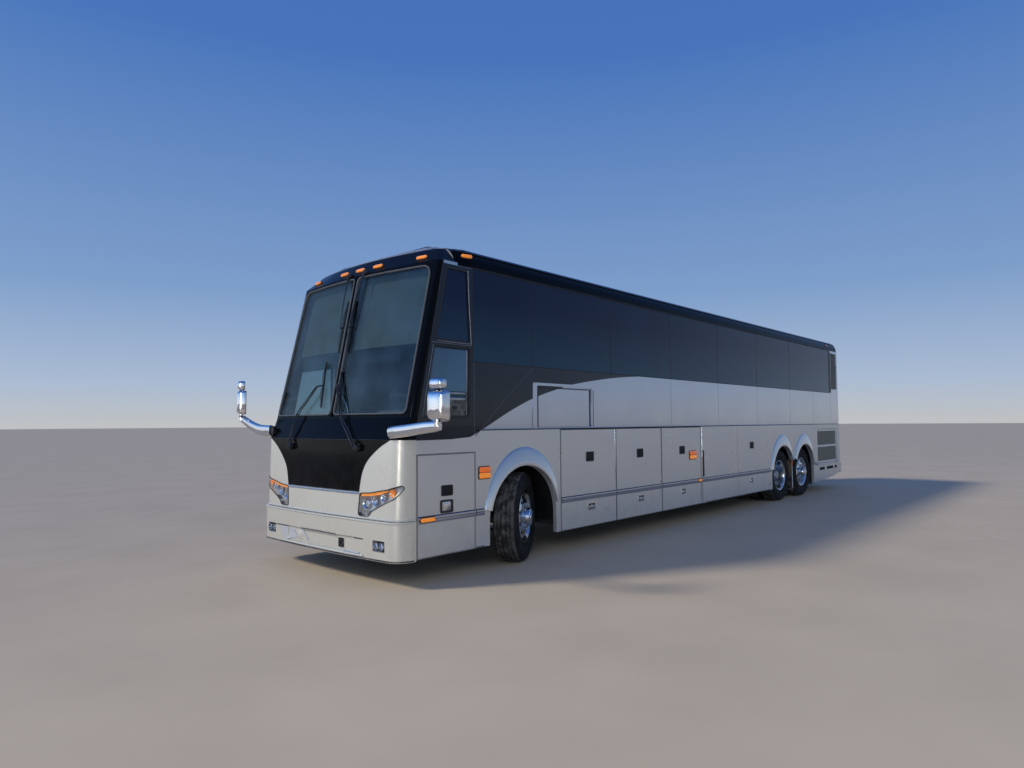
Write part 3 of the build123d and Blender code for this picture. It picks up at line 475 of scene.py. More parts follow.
def glass(name, tint, mirror_rough=0.02, base=0.045, grazing=0.9, haze=0.0, mirror=(0.9, 0.95, 0.96)):
    """Clear pane: light passes through tinted, and the surface mirrors more at grazing angles."""
    m = bpy.data.materials.new(name)
    m.use_nodes = True
    nt = m.node_tree
    nd, ln = nt.nodes, nt.links
    b = nd["Principled BSDF"]
    out = nd["Material Output"]
    b.inputs["Base Color"].default_value = (*mirror, 1)
    b.inputs["Metallic"].default_value = 1.0
    b.inputs["Roughness"].default_value = mirror_rough
    t = nd.new("ShaderNodeBsdfTransparent")
    t.inputs["Color"].default_value = (*tint, 1)
    lw = nd.new("ShaderNodeLayerWeight")
    lw.inputs["Blend"].default_value = 0.5
    pw = nd.new("ShaderNodeMath")
    pw.operation = "POWER"
    pw.inputs[1].default_value = 4.0
    ln.new(lw.outputs["Facing"], pw.inputs[0])
    n = nd.new("ShaderNodeTexNoise")
    n.inputs["Scale"].default_value = 2.2
    n.inputs["Detail"].default_value = 5.0
    co = nd.new("ShaderNodeTexCoord")
    ln.new(co.outputs["Object"], n.inputs["Vector"])
    mr = nd.new("ShaderNodeMapRange")
    mr.inputs["From Min"].default_value, mr.inputs["From Max"].default_value = 0.3, 0.75
    mr.inputs["To Min"].default_value, mr.inputs["To Max"].default_value = base, base + haze
    ln.new(n.outputs["Fac"], mr.inputs["Value"])
    ad = nd.new("ShaderNodeMath")
    ad.operation = "MULTIPLY_ADD"
    ad.use_clamp = True
    ln.new(pw.outputs["Value"], ad.inputs[0])
    ad.inputs[1].default_value = grazing
    ln.new(mr.outputs["Result"], ad.inputs[2])
    mx = nd.new("ShaderNodeMixShader")
    ln.new(ad.outputs["Value"], mx.inputs["Fac"])
    ln.new(t.outputs["BSDF"], mx.inputs[1])
    ln.new(b.outputs["BSDF"], mx.inputs[2])
    ln.new(mx.outputs["Shader"], out.inputs["Surface"])
    return m


def lamp(name, base, emit=0.25, rough=0.12, rib=90.0, strength=0.35):
    """Moulded lens with fine prisms; a little of its own light stands in for the depth of the lens."""
    m = material(name, base, rough=rough, coat=1.0, coat_rough=0.03, vary=(rib * 0.5, 0.25), bump=(rib, strength, 0.003))
    b = m.node_tree.nodes["Principled BSDF"]
    b.inputs["Emission Color"].default_value = (*base, 1)
    b.inputs["Emission Strength"].default_value = emit
    return m


DUST = (0.36, 0.33, 0.29)
M = {
    # bright silver body paint: fine flake under clear coat
    "silver": material("paint_silver", (0.45, 0.48, 0.54), rough=0.15, metal=0.80, coat=0.8, coat_rough=0.02,
                       vary=(900, 0.09), rough_var=(2.1, 0.04), bump=(1.0, 0.05, 0.03), dirt=(0.25, 0.95, DUST, 0.12)),
    # arch flare silver: the paler colour towards its lower ends is a painted reflection of the pale ground
    "silver_flare": material("paint_silver_flare_painted_reflection", (0.46, 0.49, 0.54), rough=0.17, metal=0.78, coat=0.7, coat_rough=0.03, vary=(900, 0.08),
                             rough_var=(2.1, 0.04), bump=(1.0, 0.05, 0.03), rise=(0.62, 1.26, (0.74, 0.74, 0.70))),
    # lower panel silver: its paler, warmer tone is partly the panels' own paint and partly a painted reflection of the
    # sunlit ground; the dust towards the ground is real dust
    "silver_low": material("paint_silver_low", (0.575, 0.565, 0.535), rough=0.33, metal=0.55, coat=0.35, coat_rough=0.12,
                           vary=(900, 0.09), rough_var=(2.6, 0.07), bump=(1.1, 0.03, 0.02), dirt=(0.22, 1.0, DUST, 0.22)),
    # bumper and lower mask silver: its warm pale tone is partly its own paint and partly a painted reflection of the
    # sunlit ground
    "bumper": material("paint_bumper", (0.65, 0.615, 0.515), rough=0.30, metal=0.42, coat=0.45, coat_rough=0.08,
                       vary=(900, 0.08), rough_var=(3.0, 0.06), bump=(2.2, 0.03, 0.01), dirt=(0.22, 0.7, DUST, 0.10)),
    "black": material("paint_black", (0.0022, 0.0024, 0.0028), rough=0.10, coat=0.03, coat_rough=0.02, spec=0.07, vary=(700, 0.5),
                      rough_var=(1.7, 0.03), bump=(1.6, 0.02, 0.02), dirt=(0.7, 1.6, (0.02, 0.02, 0.021), 0.3)),
    # black paint of the side panels: the same black as on the nose, its blue tint a painted sky reflection
    "black_side": material("paint_black_side_painted_sky", (0.006, 0.010, 0.018), rough=0.09, coat=0.35, coat_rough=0.02, spec=0.24, vary=(700, 0.4),
                           rough_var=(1.7, 0.03), bump=(1.2, 0.03, 0.02)),
    # driver's upper pane: opaque, its blue a painted sky reflection that is lighter towards the bottom
    "pane_blue": material("glass_side_painted_sky", (0.040, 0.095, 0.175), rough=0.03, coat=0.3, coat_rough=0.01, spec=0.3,
                          vary=(1.2, 0.18), bump=(0.6, 0.03, 0.03), rise=(1.7, 2.45, (0.065, 0.15, 0.20))),
    # driver's sliding pane: opaque grey with darker patches, a painted reflection of the surroundings
    "pane_grey": material("glass_side_painted_scene", (0.075, 0.082, 0.080), rough=0.05, coat=0.3, coat_rough=0.01, spec=0.3,
                          vary=(9, 0.6), bump=(0.6, 0.03, 0.03), alt=(22, 0.45, 0.6, (0.02, 0.022, 0.022))),
    "roof": material("paint_roof", (0.30, 0.31, 0.325), rough=0.42, metal=0.35, coat=0.3, coat_rough=0.2, vary=(5, 0.1),
                     rough_var=(3, 0.08), bump=(1.4, 0.05, 0.02), alt=(2.2, 0.55, 0.85, (0.27, 0.265, 0.25))),
    # dark tinted glass; the lighter blue towards the bottom of each pane is a painted sky reflection
    "tinted": material("glass_tinted", (0.0035, 0.008, 0.030), rough=0.03, coat=0.12, coat_rough=0.01, spec=0.20,
                       vary=(0.7, 0.25), bump=(0.55, 0.035, 0.03), rough_var=(2.0, 0.02), rise=(2.15, 3.0, (0.010, 0.042, 0.075))),
    "rubber": material("rubber_trim", (0.012, 0.012, 0.013), rough=0.55, vary=(60, 0.35), rough_var=(20, 0.12),
                       bump=(320, 0.12, 0.001), dirt=(0.25, 1.2, DUST, 0.25)),
    "grey_trim": material("rubber_grey", (0.10, 0.105, 0.11), rough=0.5, vary=(50, 0.2), rough_var=(20, 0.1), bump=(260, 0.1, 0.001)),
    "gasket": material("gasket_bright", (0.50, 0.51, 0.52), rough=0.27, metal=0.85, vary=(140, 0.22), bump=(160, 0.45, 0.002)),
    "tyre": material("tyre_rubber", (0.007, 0.007, 0.007), rough=0.74, spec=0.25, vary=(30, 0.3), rough_var=(12, 0.1),
                     bump=(230, 0.25, 0.0012), alt=(7, 0.5, 0.85, (0.030, 0.028, 0.026))),
    "tread": material("tyre_tread", (0.022, 0.0205, 0.019), rough=0.88, spec=0.2, vary=(40, 0.3), bump=(180, 0.4, 0.0015),
                      alt=(14, 0.38, 0.70, (0.125, 0.116, 0.103))),
    "chrome": material("chrome", (0.72, 0.725, 0.735), rough=0.07, metal=1.0, vary=(8, 0.05), rough_var=(14, 0.04), bump=(3, 0.02, 0.01)),
    "alloy": material("polished_alloy", (0.62, 0.63, 0.64), rough=0.16, metal=1.0, vary=(26, 0.1), rough_var=(22, 0.07),
                      bump=(90, 0.04, 0.002), alt=(9, 0.6, 0.9, (0.34, 0.31, 0.28))),
    "alloy_dull": material("brushed_alloy", (0.40, 0.41, 0.42), rough=0.38, metal=0.9, vary=(20, 0.15), rough_var=(15, 0.1),
                           bump=(120, 0.08, 0.002), alt=(7, 0.5, 0.85, (0.2, 0.18, 0.16))),
    "steel": material("frame_steel", (0.035, 0.036, 0.038), rough=0.55, metal=0.2, vary=(14, 0.3), rough_var=(8, 0.15),
                      bump=(60, 0.2, 0.002), alt=(4, 0.5, 0.8, (0.085, 0.072, 0.06))),
    "axle": material("axle_steel", (0.05, 0.05, 0.052), rough=0.5, metal=0.4, vary=(16, 0.3), rough_var=(9, 0.15),
                     bump=(70, 0.25, 0.002), alt=(6, 0.45, 0.8, (0.13, 0.1, 0.08))),
    "liner": material("arch_liner", (0.006, 0.006, 0.0065), rough=0.9, spec=0.2, vary=(12, 0.35), bump=(50, 0.3, 0.003), alt=(5, 0.5, 0.9, (0.02, 0.019, 0.017))),
    "floor": material("floor_cover", (0.075, 0.075, 0.08), rough=0.65, vary=(220, 0.4), rough_var=(40, 0.1), bump=(240, 0.2, 0.001)),
    "cabin": material("cabin_plastic", (0.11, 0.112, 0.118), rough=0.5, vary=(35, 0.12), rough_var=(40, 0.08), bump=(420, 0.25, 0.0008)),
    "cabin_light": material("cabin_trim_light", (0.36, 0.36, 0.35), rough=0.55, vary=(30, 0.1), rough_var=(30, 0.08), bump=(380, 0.2, 0.0008)),
    "fabric": material("seat_fabric", (0.035, 0.045, 0.075), rough=0.9, sheen=0.5, vary=(120, 0.45), bump=(620, 0.5, 0.001),
                       bump2=(24, 0.2, 0.006), alt=(60, 0.52, 0.6, (0.09, 0.1, 0.14))),
    "leather": material("seat_leather", (0.028, 0.028, 0.03), rough=0.45, vary=(14, 0.25), rough_var=(30, 0.1),
                        bump=(300, 0.35, 0.001), bump2=(12, 0.3, 0.008), sheen=0.1),
    "plastic_black": material("plastic_black", (0.014, 0.014, 0.015), rough=0.38, vary=(40, 0.25), rough_var=(25, 0.1), bump=(380, 0.15, 0.0008)),
    # near-black for the insides of openings, cups, slots and gaps: painted shade
    "hole": material("opening_painted_shade", (0.004, 0.004, 0.004), rough=0.85, vary=(30, 0.3), bump=(60, 0.2, 0.002)),
    "engine": material("engine_paint", (0.10, 0.095, 0.085), rough=0.5, metal=0.25, vary=(11, 0.3), rough_var=(8, 0.15),
                       bump=(40, 0.3, 0.004), alt=(5, 0.5, 0.8, (0.05, 0.045, 0.04))),
    "core": material("radiator_core", (0.045, 0.05, 0.05), rough=0.5, metal=0.5, vary=(40, 0.3), stretch=(1, 1, 40), bump=(30, 0.5, 0.003)),
    "rib": material("grille_rib", (0.215, 0.215, 0.175), rough=0.55, metal=0.2, vary=(20, 0.2), rough_var=(15, 0.1), bump=(90, 0.15, 0.002)),
    "white_frame": material("frame_pale", (0.50, 0.51, 0.52), rough=0.32, metal=0.25, coat=0.4, vary=(30, 0.06), rough_var=(6, 0.08), bump=(4, 0.03, 0.01)),
    "amber": lamp("lens_amber", (0.95, 0.27, 0.015), emit=0.32, rib=150),
    "orange": lamp("lens_orange", (0.90, 0.16, 0.01), emit=0.22, rib=240),
    "red": lamp("lens_red", (0.55, 0.01, 0.012), emit=0.14, rib=150),
    "clear_lens": glass("lens_clear", (0.96, 0.97, 0.98), base=0.02, grazing=0.5, haze=0.02),
    "reflector": material("lamp_reflector", (0.80, 0.81, 0.82), rough=0.10, metal=1.0, vary=(30, 0.08), bump=(60, 0.15, 0.003)),
    "screen": glass("glass_clear", (0.70, 0.77, 0.76), base=0.028, grazing=0.42, haze=0.065, mirror=(1.0, 0.93, 0.80)),
    "visor": glass("visor_dark", (0.20, 0.25, 0.25), base=0.02, grazing=0.4, haze=0.05),
    "side_clear": glass("glass_side_clear", (0.62, 0.72, 0.76), base=0.10, grazing=0.7, haze=0.05),
    "mud": material("mud_flap", (0.03, 0.03, 0.03), rough=0.8, vary=(12, 0.3), bump=(50, 0.3, 0.003), alt=(6, 0.4, 0.75, (0.42, 0.27, 0.15))),
    "shade": material("roller_shade", (0.11, 0.12, 0.115), rough=0.75, vary=(160, 0.2), bump=(500, 0.25, 0.0008), bump2=(6, 0.25, 0.01)),
    "mirror": material("mirror_glass", (0.70, 0.73, 0.76), rough=0.02, metal=1.0, vary=(4, 0.04), rough_var=(9, 0.01)),
    "dial": material("dial_face", (0.02, 0.022, 0.025), rough=0.3, coat=0.6, vary=(18, 0.3), bump=(200, 0.1, 0.0006)),
    "white_mark": material("marking_white", (0.7, 0.7, 0.68), rough=0.5, vary=(60, 0.1), bump=(200, 0.1, 0.0005)),
}

# every node that stays gets the finish of its real surface


def two_tone(name, low, high, z):
    """One finish below a height and another above it, as where a panel is painted in two colours."""
    m = low.copy()
    m.name = name
    nt = m.node_tree
    out = [n for n in nt.nodes if n.type == "OUTPUT_MATERIAL"][0]
    first = [n for n in nt.nodes if n.type == "BSDF_PRINCIPLED"][0]
    src = [n for n in high.node_tree.nodes if n.type == "BSDF_PRINCIPLED"][0]
    b = nt.nodes.new("ShaderNodeBsdfPrincipled")
    for key in ("Base Color", "Roughness", "Metallic", "Coat Weight", "Coat Roughness", "Specular IOR Level"):
        b.inputs[key].default_value = src.inputs[key].default_value
    for link in list(nt.links):
        if link.to_node == first and link.to_socket.name == "Normal":
            nt.links.new(link.from_socket, b.inputs["Normal"])
    co = nt.nodes.new("ShaderNodeTexCoord")
    sp = nt.nodes.new("ShaderNodeSeparateXYZ")
    nt.links.new(co.outputs["Object"], sp.inputs["Vector"])
    gt = nt.nodes.new("ShaderNodeMath")
    gt.operation = "GREATER_THAN"
    gt.inputs[1].default_value = z
    nt.links.new(sp.outputs["Z"], gt.inputs[0])
    mx = nt.nodes.new("ShaderNodeMixShader")
    nt.links.new(gt.outputs["Value"], mx.inputs["Fac"])
    nt.links.new(first.outputs["BSDF"], mx.inputs[1])
    nt.links.new(b.outputs["BSDF"], mx.inputs[2])
    nt.links.new(mx.outputs["Shader"], out.inputs["Surface"])
    return m


M["mask"] = two_tone("paint_mask", M["bumper"], M["black"], 1.4560)
FINISH = {
    "hold_floor": "steel", "bulkheads": "steel", "front_frame": "steel", "rear_frame": "steel",
    "passenger_floor": "floor", "cab_floor": "floor", "wheel_housings": "liner",
    "left_side_wall": "silver", "right_side_wall": "silver", "left_lower_panels": "silver_low", "right_lower_panels": "silver_low",
    "roof": "roof", "front_mask": "mask", "windshield_frame": "black", "windshield": "screen",
    "front_bumper": "bumper", "front_lamps": "clear_lens", "left_windows": "tinted", "right_windows": "tinted",
    "rear_window": "tinted", "rear_cap": "silver", "rear_bumper": "bumper", "tail_lamps": "red", "mirrors": "chrome",
    "wipers": "plastic_black", "dashboard": "cabin", "steering_wheel": "leather", "driver_seat": "leather",
    "passenger_seats": "fabric", "parcel_racks": "cabin_light", "front_axle": "axle", "drive_axle": "axle",
    "tag_axle": "axle", "engine": "engine", "entrance_door": "silver", "entrance_door_glass": "side_clear",
    "front_service_door": "silver_low", "radiator_door": "white_frame", "engine_door": "silver",
    "left_knuckle": "axle", "right_knuckle": "axle", "tie_rod": "axle",
}
for n in ("left_front", "left_middle", "left_rear", "right_front", "right_middle", "right_rear"):
    FINISH[n + "_luggage_door"] = "silver_low"
for n, o in NODES.items():
    key = FINISH.get(n) or ("tyre" if "tyre" in n else "alloy")
    o.data.materials.clear()
    o.data.materials.append(M[key])

# ---------------------------------------------------------------- camera, floor and light
CAM = Vector((11.1505, 6.542, 1.620))
yaw, pitch, roll = math.radians(221.838), math.radians(3.24), math.radians(-0.356)
fwd = Vector((math.cos(yaw) * math.cos(pitch), math.sin(yaw) * math.cos(pitch), math.sin(pitch)))
right = unit(fwd.cross(Vector((0, 0, 1))))
up = right.cross(fwd)
R = right * math.cos(roll) + up * math.sin(roll)
U = up * math.cos(roll) - right * math.sin(roll)
cam_data = bpy.data.cameras.new("camera")
cam = bpy.data.objects.new("camera", cam_data)
bpy.context.scene.collection.objects.link(cam)
cam.matrix_world = Matrix(((R.x, U.x, -fwd.x, CAM.x), (R.y, U.y, -fwd.y, CAM.y), (R.z, U.z, -fwd.z, CAM.z), (0, 0, 0, 1)))
cam_data.sensor_width = 36
cam_data.lens = 24.061
cam_data.clip_start, cam_data.clip_end = 0.1, 900
bpy.context.scene.camera = cam

floor_mat = material("studio_floor", (0.46, 0.375, 0.265), rough=0.75, vary=(0.8, 0.05), rough_var=(4, 0.06), bump=(120, 0.06, 0.002))
fm = bpy.data.meshes.new("floor")
N = 48
fv = [(0.0, 0.0, 0.0)] + [(390 * math.cos(2 * math.pi * i / N), 390 * math.sin(2 * math.pi * i / N), 0.0) for i in range(N)]
fm.from_pydata(fv, [], [(0, 1 + i, 1 + (i + 1) % N) for i in range(N)])
fm.materials.append(floor_mat)
floor = bpy.data.objects.new("floor", fm)
bpy.context.scene.collection.objects.link(floor)

world = bpy.data.worlds.new("studio")
bpy.context.scene.world = world
world.use_nodes = True
wn, wl = world.node_tree.nodes, world.node_tree.links
bg = wn["Background"]
tc = wn.new("ShaderNodeTexCoord")
sx = wn.new("ShaderNodeSeparateXYZ")
wl.new(tc.outputs["Generated"], sx.inputs["Vector"])
mr = wn.new("ShaderNodeMapRange")
mr.inputs["From Min"].default_value, mr.inputs["From Max"].default_value = -0.05, 1.0
wl.new(sx.outputs["Z"], mr.inputs["Value"])
rp = wn.new("ShaderNodeValToRGB")
e = rp.color_ramp.elements
e[0].position, e[0].color = 0.0, (0.40, 0.39, 0.375, 1)
e[1].position, e[1].color = 1.0, (0.035, 0.11, 0.42, 1)
for p, c in ((0.046, (0.55, 0.56, 0.57, 1)), (0.10, (0.42, 0.52, 0.68, 1)), (0.22, (0.22, 0.36, 0.62, 1)), (0.50, (0.07, 0.19, 0.52, 1))):
    q = e.new(p)
    q.color = c
wl.new(mr.outputs["Result"], rp.inputs["Fac"])


def lobe(direction, power, amount):
    """How much brighter or darker the surroundings are towards one side."""
    dt = wn.new("ShaderNodeVectorMath")
    dt.operation = "DOT_PRODUCT"
    wl.new(tc.outputs["Generated"], dt.inputs[0])
    dt.inputs[1].default_value = tuple(unit(Vector(direction)))
    cl = wn.new("ShaderNodeMath")
    cl.operation = "MAXIMUM"
    wl.new(dt.outputs["Value"], cl.inputs[0])
    cl.inputs[1].default_value = 0.0
    pw = wn.new("ShaderNodeMath")
    pw.operation = "POWER"
    wl.new(cl.outputs["Value"], pw.inputs[0])
    pw.inputs[1].default_value = power
    ml = wn.new("ShaderNodeMath")
    ml.operation = "MULTIPLY"
    wl.new(pw.outputs["Value"], ml.inputs[0])
    ml.inputs[1].default_value = amount
    return ml.outputs["Value"]


total = None
for args in (((0.85, -0.50, 0.10), 4.0, 1.2), ((0.75, 0.66, 0.05), 26.0, 1.7), ((-0.45, 0.90, 0.0), 3.0, -0.10)):
    v = lobe(*args)
    ad = wn.new("ShaderNodeMath")
    ad.operation = "ADD"
    wl.new(v, ad.inputs[0])
    if total is None:
        ad.inputs[1].default_value = 1.0
    else:
        wl.new(total, ad.inputs[1])
    total = ad.outputs["Value"]
vs = wn.new("ShaderNodeVectorMath")
vs.operation = "SCALE"
wl.new(rp.outputs["Color"], vs.inputs[0])
wl.new(total, vs.inputs["Scale"])
wl.new(vs.outputs["Vector"], bg.inputs["Color"])
bg.inputs["Strength"].default_value = 0.95


def area(name, at, to, size, power, colour=(1, 1, 1)):
    d = bpy.data.lights.new(name, "AREA")
    d.shape = "RECTANGLE"
    d.size, d.size_y = size
    d.energy = power
    d.color = colour
    o = bpy.data.objects.new(name, d)
    bpy.context.scene.collection.objects.link(o)
    o.location = at
    o.rotation_euler = (Vector(to) - Vector(at)).to_track_quat("-Z", "Y").to_euler()
    return o


key = bpy.data.lights.new("key", "SUN")
key.energy = 2.6
key.angle = math.radians(9)
key.color = (1, 0.955, 0.88)
ko = bpy.data.objects.new("key", key)
bpy.context.scene.collection.objects.link(ko)
ko.location = (17, -12, 17)
ko.rotation_euler = Vector((-17, 12, -17)).to_track_quat("-Z", "Y").to_euler()
strip = area("strip_front", (17.8, 6.0, 3.6), (6.9, 1.1, 1.6), (2.0, 6.0), 330, (1, 0.985, 0.95))
fill = area("fill_front", (17, 9, 7), (4, 0, 1.5), (8, 6), 450, (1, 0.985, 0.96))
side = area("fill_left", (-4, 18, 10), (-2, 0, 1.5), (16, 6), 500, (0.94, 0.97, 1))
for o in (ko, fill, side):
    o.visible_glossy = False
strip.visible_diffuse = False
bpy.context.scene.view_settings.view_transform = "Standard"


# ---------------------------------------------------------------- body panels and trim
def curve2(pts, n=6):
    return [(p.x, p.y) for p in smooth_path([(a, b, 0) for a, b in pts], n)]


WALL_Y = 1.295
SWOOSH = curve2([(-2.62, 2.2855), (-2.024, 2.243), (-1.533, 2.190), (-0.933, 2.104), (-0.495, 2.007), (-0.123, 1.905),
                 (0.228, 1.775), (0.501, 1.655), (0.77, 1.532), (0.923, 1.470)], 8)
FRONT_UP = [(1.672, 1.449), (1.671, 1.54), (1.649, 1.68), (1.302, 3.297)]

DRIVER_PANE = [(0.935, 1.684), (1.585, 1.684), (1.440, 2.425), (0.912, 2.425)]
QUARTER_PANE = [(0.912, 2.480), (1.425, 2.480), (1.262, 3.260), (0.955, 3.260)]
OVER_DOOR = [(0.932, 2.812), (1.328, 2.812), (1.243, 3.228), (0.932, 3.228)]


def grow(poly, d):
    return inset(poly, -d)


# black paint that sweeps from the front corner back under the windows
g = Geo()
outer = SWOOSH + [(1.215, 1.452)] + FRONT_UP + [(0.8785, 3.297), (0.8785, 2.2855)]
skin(g, outer, [soften(grow(DRIVER_PANE, 0.001), 0.03), soften(grow(QUARTER_PANE, 0.001), 0.03)], flat_put("y", WALL_Y), 0.003, 0, 0.4)
g.done("left_black_panel", [M["black_side"]])

g = Geo()
outer = [p for p in SWOOSH if p[0] < 0.84] + [(0.8545, 1.4975), (0.8545, 2.768), (1.3815, 2.768), (1.6225, 1.602), (1.6245, 1.449)] \
    + FRONT_UP + [(0.8525, 3.297), (0.8525, 2.2855)]
skin(g, outer, [soften(grow(OVER_DOOR, 0.001), 0.03)], flat_put("y", -WALL_Y, -1), 0.003, 0, 0.4)
g.done("right_black_panel", [M["black_side"]])

g = Geo()
outer = [(0.868, 1.452), (0.932, 1.452), (0.932, 2.660), (0.957, 2.685), (1.300, 2.685), (1.327, 2.655), (1.540, 1.600), (1.5425, 1.452),
         (1.614, 1.452), (1.609, 1.602), (1.371, 2.754), (0.868, 2.754)]
skin(g, outer, [], flat_put("y", -WALL_Y, -1), 0.003, 0, 0.4)
g.done("entrance_door_black", [M["black_side"]], "entrance_door")

# dark flank of the roof above the windows, with its bead
roof_cast = caster("roof")


def roof_side(sign):
    def put(x, z):
        p, n = roof_cast((x, sign * 2.2, z), (0, -sign, 0))
        return p, n
    return put


for sign, side in ((1, "left"), (-1, "right")):
    g = Geo()
    put = roof_side(sign)
    # built strip by strip, so that the long band stays even
    xs = [1.0985, 1.06, 1.02, 0.98, 0.94, 0.9005, 0.8995, 0.80] + list(np.linspace(0.6, -11.6985, 40))
    zs = [3.303, 3.34, 3.38, 3.42, 3.45, 3.47, 3.488, 3.503, 3.516, 3.526]
    rows = []
    for x in xs:
        rows.append([put(x, z) for z in zs])
    verts, faces = [], []
    k = len(zs)
    for row in rows:
        verts.extend(Vector(p) + unit(n) * 0.003 for p, n in row)
    for row in rows:
        verts.extend(Vector(p) - unit(n) * 0.001 for p, n in row)
    m0 = len(rows) * k
    for i in range(len(rows) - 1):
        for j in range(k - 1):
            a = i * k + j
            faces.append((a, a + 1, a + k + 1, a + k))
            faces.append((a + m0, a + k + m0, a + k + 1 + m0, a + 1 + m0))
        for j in (0, k - 1):
            a = i * k + j
            faces.append((a, a + k, a + k + m0, a + m0))
    for i in (0, len(rows) - 1):
        for j in range(k - 1):
            a = i * k + j
            faces.append((a, a + 1, a + 1 + m0, a + m0))
    g.add(verts, faces, 0)
    # rain gutter: a slim bead on the edge of the dark band and one over the glass
    for z, r, mat in ((3.472, 0.009, 0), (3.309, 0.006, 1)):
        line = [put(x, z) for x in [1.095, 1.05, 1.0, 0.95, 0.901, 0.899] + list(np.linspace(0.8, -11.68, 80))]
        tube(g, [Vector(p) + unit(n) * (0.003 + r * 0.4) for p, n in line], r, 8, mat)
    g.done(side + "_roof_flank", [M["black"], M["rubber"]])

# ---- glass panels along the side: dark joints, a thin edge at the front and the cut lines under and over them
SEAMS = [-0.126, -1.799, -3.457, -5.111, -6.795, -8.516]
for sign, side, front in ((1, "left", 0.876), (-1, "right", 0.850)):
    g = Geo()
    y = sign * WALL_Y
    for x in SEAMS + [-11.102]:
        prism(g, rect(x - 0.0045, x + 0.0045, 2.289, 3.297, 0.001, 1), "y", y - sign * 0.006, y + sign * 0.0016, 0, 0.0006)
    prism(g, rect(front, front + 0.006, 2.289, 3.297), "y", y - sign * 0.004, y + sign * 0.0045, 0, 0.001)
    box(g, (-11.10, y - sign * 0.004, 2.2795), (front, y + sign * 0.0052, 2.2885), 0, 0.0015)
    box(g, (-11.10, y - sign * 0.004, 3.2955), (front, y + sign * 0.0048, 3.3035), 0, 0.0015)
    g.done(side + "_window_seams", [M["rubber"]])

# ---- belt line, mouldings and the raised frame on the upper side
for sign, side in ((1, "left"), (-1, "right")):
    g = Geo()
    y = sign * WALL_Y
    put = lambda u, v, w: (w, y + sign * u, v)
    prism(g, [(-0.002, 1.5470), (0.0055, 1.5480), (0.0070, 1.5520), (0.0055, 1.5580), (-0.002, 1.5590)], put, -11.60, 0.72, 0, 0.0)
    box(g, (-11.60, y - sign * 0.003, 1.5370), (0.84, y + sign * 0.0030, 1.5465), 1, 0.001)
    g.done(side + "_belt_moulding", [M["silver"], M["hole"]])

g = Geo()
y = WALL_Y
for o, i, t, m in ((rect(-1.345, -0.118, 1.564, 2.098, 0.02), rect(-1.318, -0.196, 1.566, 2.066, 0.02), 0.011, 0),
                   (rect(-1.300, -0.214, 1.566, 2.050, 0.02), rect(-1.288, -0.226, 1.568, 2.036, 0.02), 0.004, 1)):
    o = [p for p in o]
    skin(g, o, [i], flat_put("y", y), t, m, 0.5)
for x in (-1.365, -1.281):
    box(g, (x - 0.004, y - 0.002, 1.568), (x + 0.004, y + 0.005, 2.04), 1, 0.002)
g.done("left_raised_frame", [M["silver"], M["rubber"]])

# panel joints of the upper side, as narrow filled grooves
for sign, side in ((1, "left"), (-1, "right")):
    g = Geo()
    y = sign * WALL_Y
    for x in (-3.457, -5.111, -6.795, -8.516, -9.95, -11.18):
        box(g, (x - 0.0022, y - sign * 0.002, 1.564), (x + 0.0022, y + sign * 0.0009, 2.279), 0, 0.0004)
    g.done(side + "_panel_joints", [M["grey_trim"]])

# ---- wheel arch flares
def flare(g, cx, cz, ri, ax, az, a0, a1, sign, clip=None, mat=0, n=56):
    prof = [(1.0, 0.0), (0.93, 0.007), (0.80, 0.013), (0.55, 0.021), (0.30, 0.029), (0.12, 0.034), (0.03, 0.033), (0.0, 0.027), (0.0, -0.04)]
    verts, faces = [], []
    k = len(prof)
    for i in range(n + 1):
        a = math.radians(a0 + (a1 - a0) * i / n)
        c, s = math.cos(a), math.sin(a)
        pi = (cx + ri * c, cz + ri * s)
        q = 1 / math.sqrt((c / ax) ** 2 + (s / az) ** 2)
        po = (cx + q * c, cz + q * s)
        for f, h in prof:
            x, z = pi[0] + (po[0] - pi[0]) * f, pi[1] + (po[1] - pi[1]) * f
            if clip:
                x = clip(x)
            verts.append((x, sign * (WALL_Y + h), z))
    for i in range(n):
        for j in range(k - 1):
            a = i * k + j
            faces.append((a, a + 1, a + k + 1, a + k))
    # closing strip on the wall and the two ends
    for i in range(n):
        a = i * k
        faces.append((a, a + k, a + 2 * k - 1, a + k - 1))
    faces.append(tuple(range(k)))
    faces.append(tuple(range(n * k + k - 1, n * k - 1, -1)))
    g.add(verts, faces, mat)


for sign, side in ((1, "left"), (-1, "right")):
    g = Geo()
    flare(g, 0.03, 0.53, 0.5925, 0.674, 0.81, 12.2, 167.8, sign)
    g.done(side + "_front_flare", [M["silver_flare"]])
    g = Geo()
    flare(g, -8.03, 0.525, 0.5875, 0.655, 0.82, 13.0, 152.0, sign, clip=lambda x: max(x, -8.652))
    flare(g, -9.28, 0.525, 0.5875, 0.662, 0.82, 28.0, 167.0, sign, clip=lambda x: min(x, -8.658))
    g.done(side + "_rear_flares", [M["silver_flare"]])

# ---- rub strip: a black channel over a bright lip, one length for each door or fixed panel
def strip_piece(name, x0, x1, sign, body, z=0.655):
    g = Geo()
    y = sign * WALL_Y
    o = [(0, z - 0.036), (0.006, z - 0.034), (0.011, z - 0.026), (0.0115, z + 0.004), (0.016, z + 0.010), (0.016, z + 0.026), (0.013, z + 0.030), (0, z + 0.030)]
    put = lambda u, v, w: (w, y + sign * u, v)
    prism(g, o, put, x0, x1, 0, 0.0)
    box(g, (x0, y - sign * 0.001, z + 0.0305), (x1, y + sign * 0.006, z + 0.0385), 1, 0.001)
    box(g, (x0, y - sign * 0.001, z + 0.0005), (x1, y + sign * 0.0125, z + 0.0045), 1, 0.0008)
    g.done(name, [M["silver"], M["rubber"]], body)


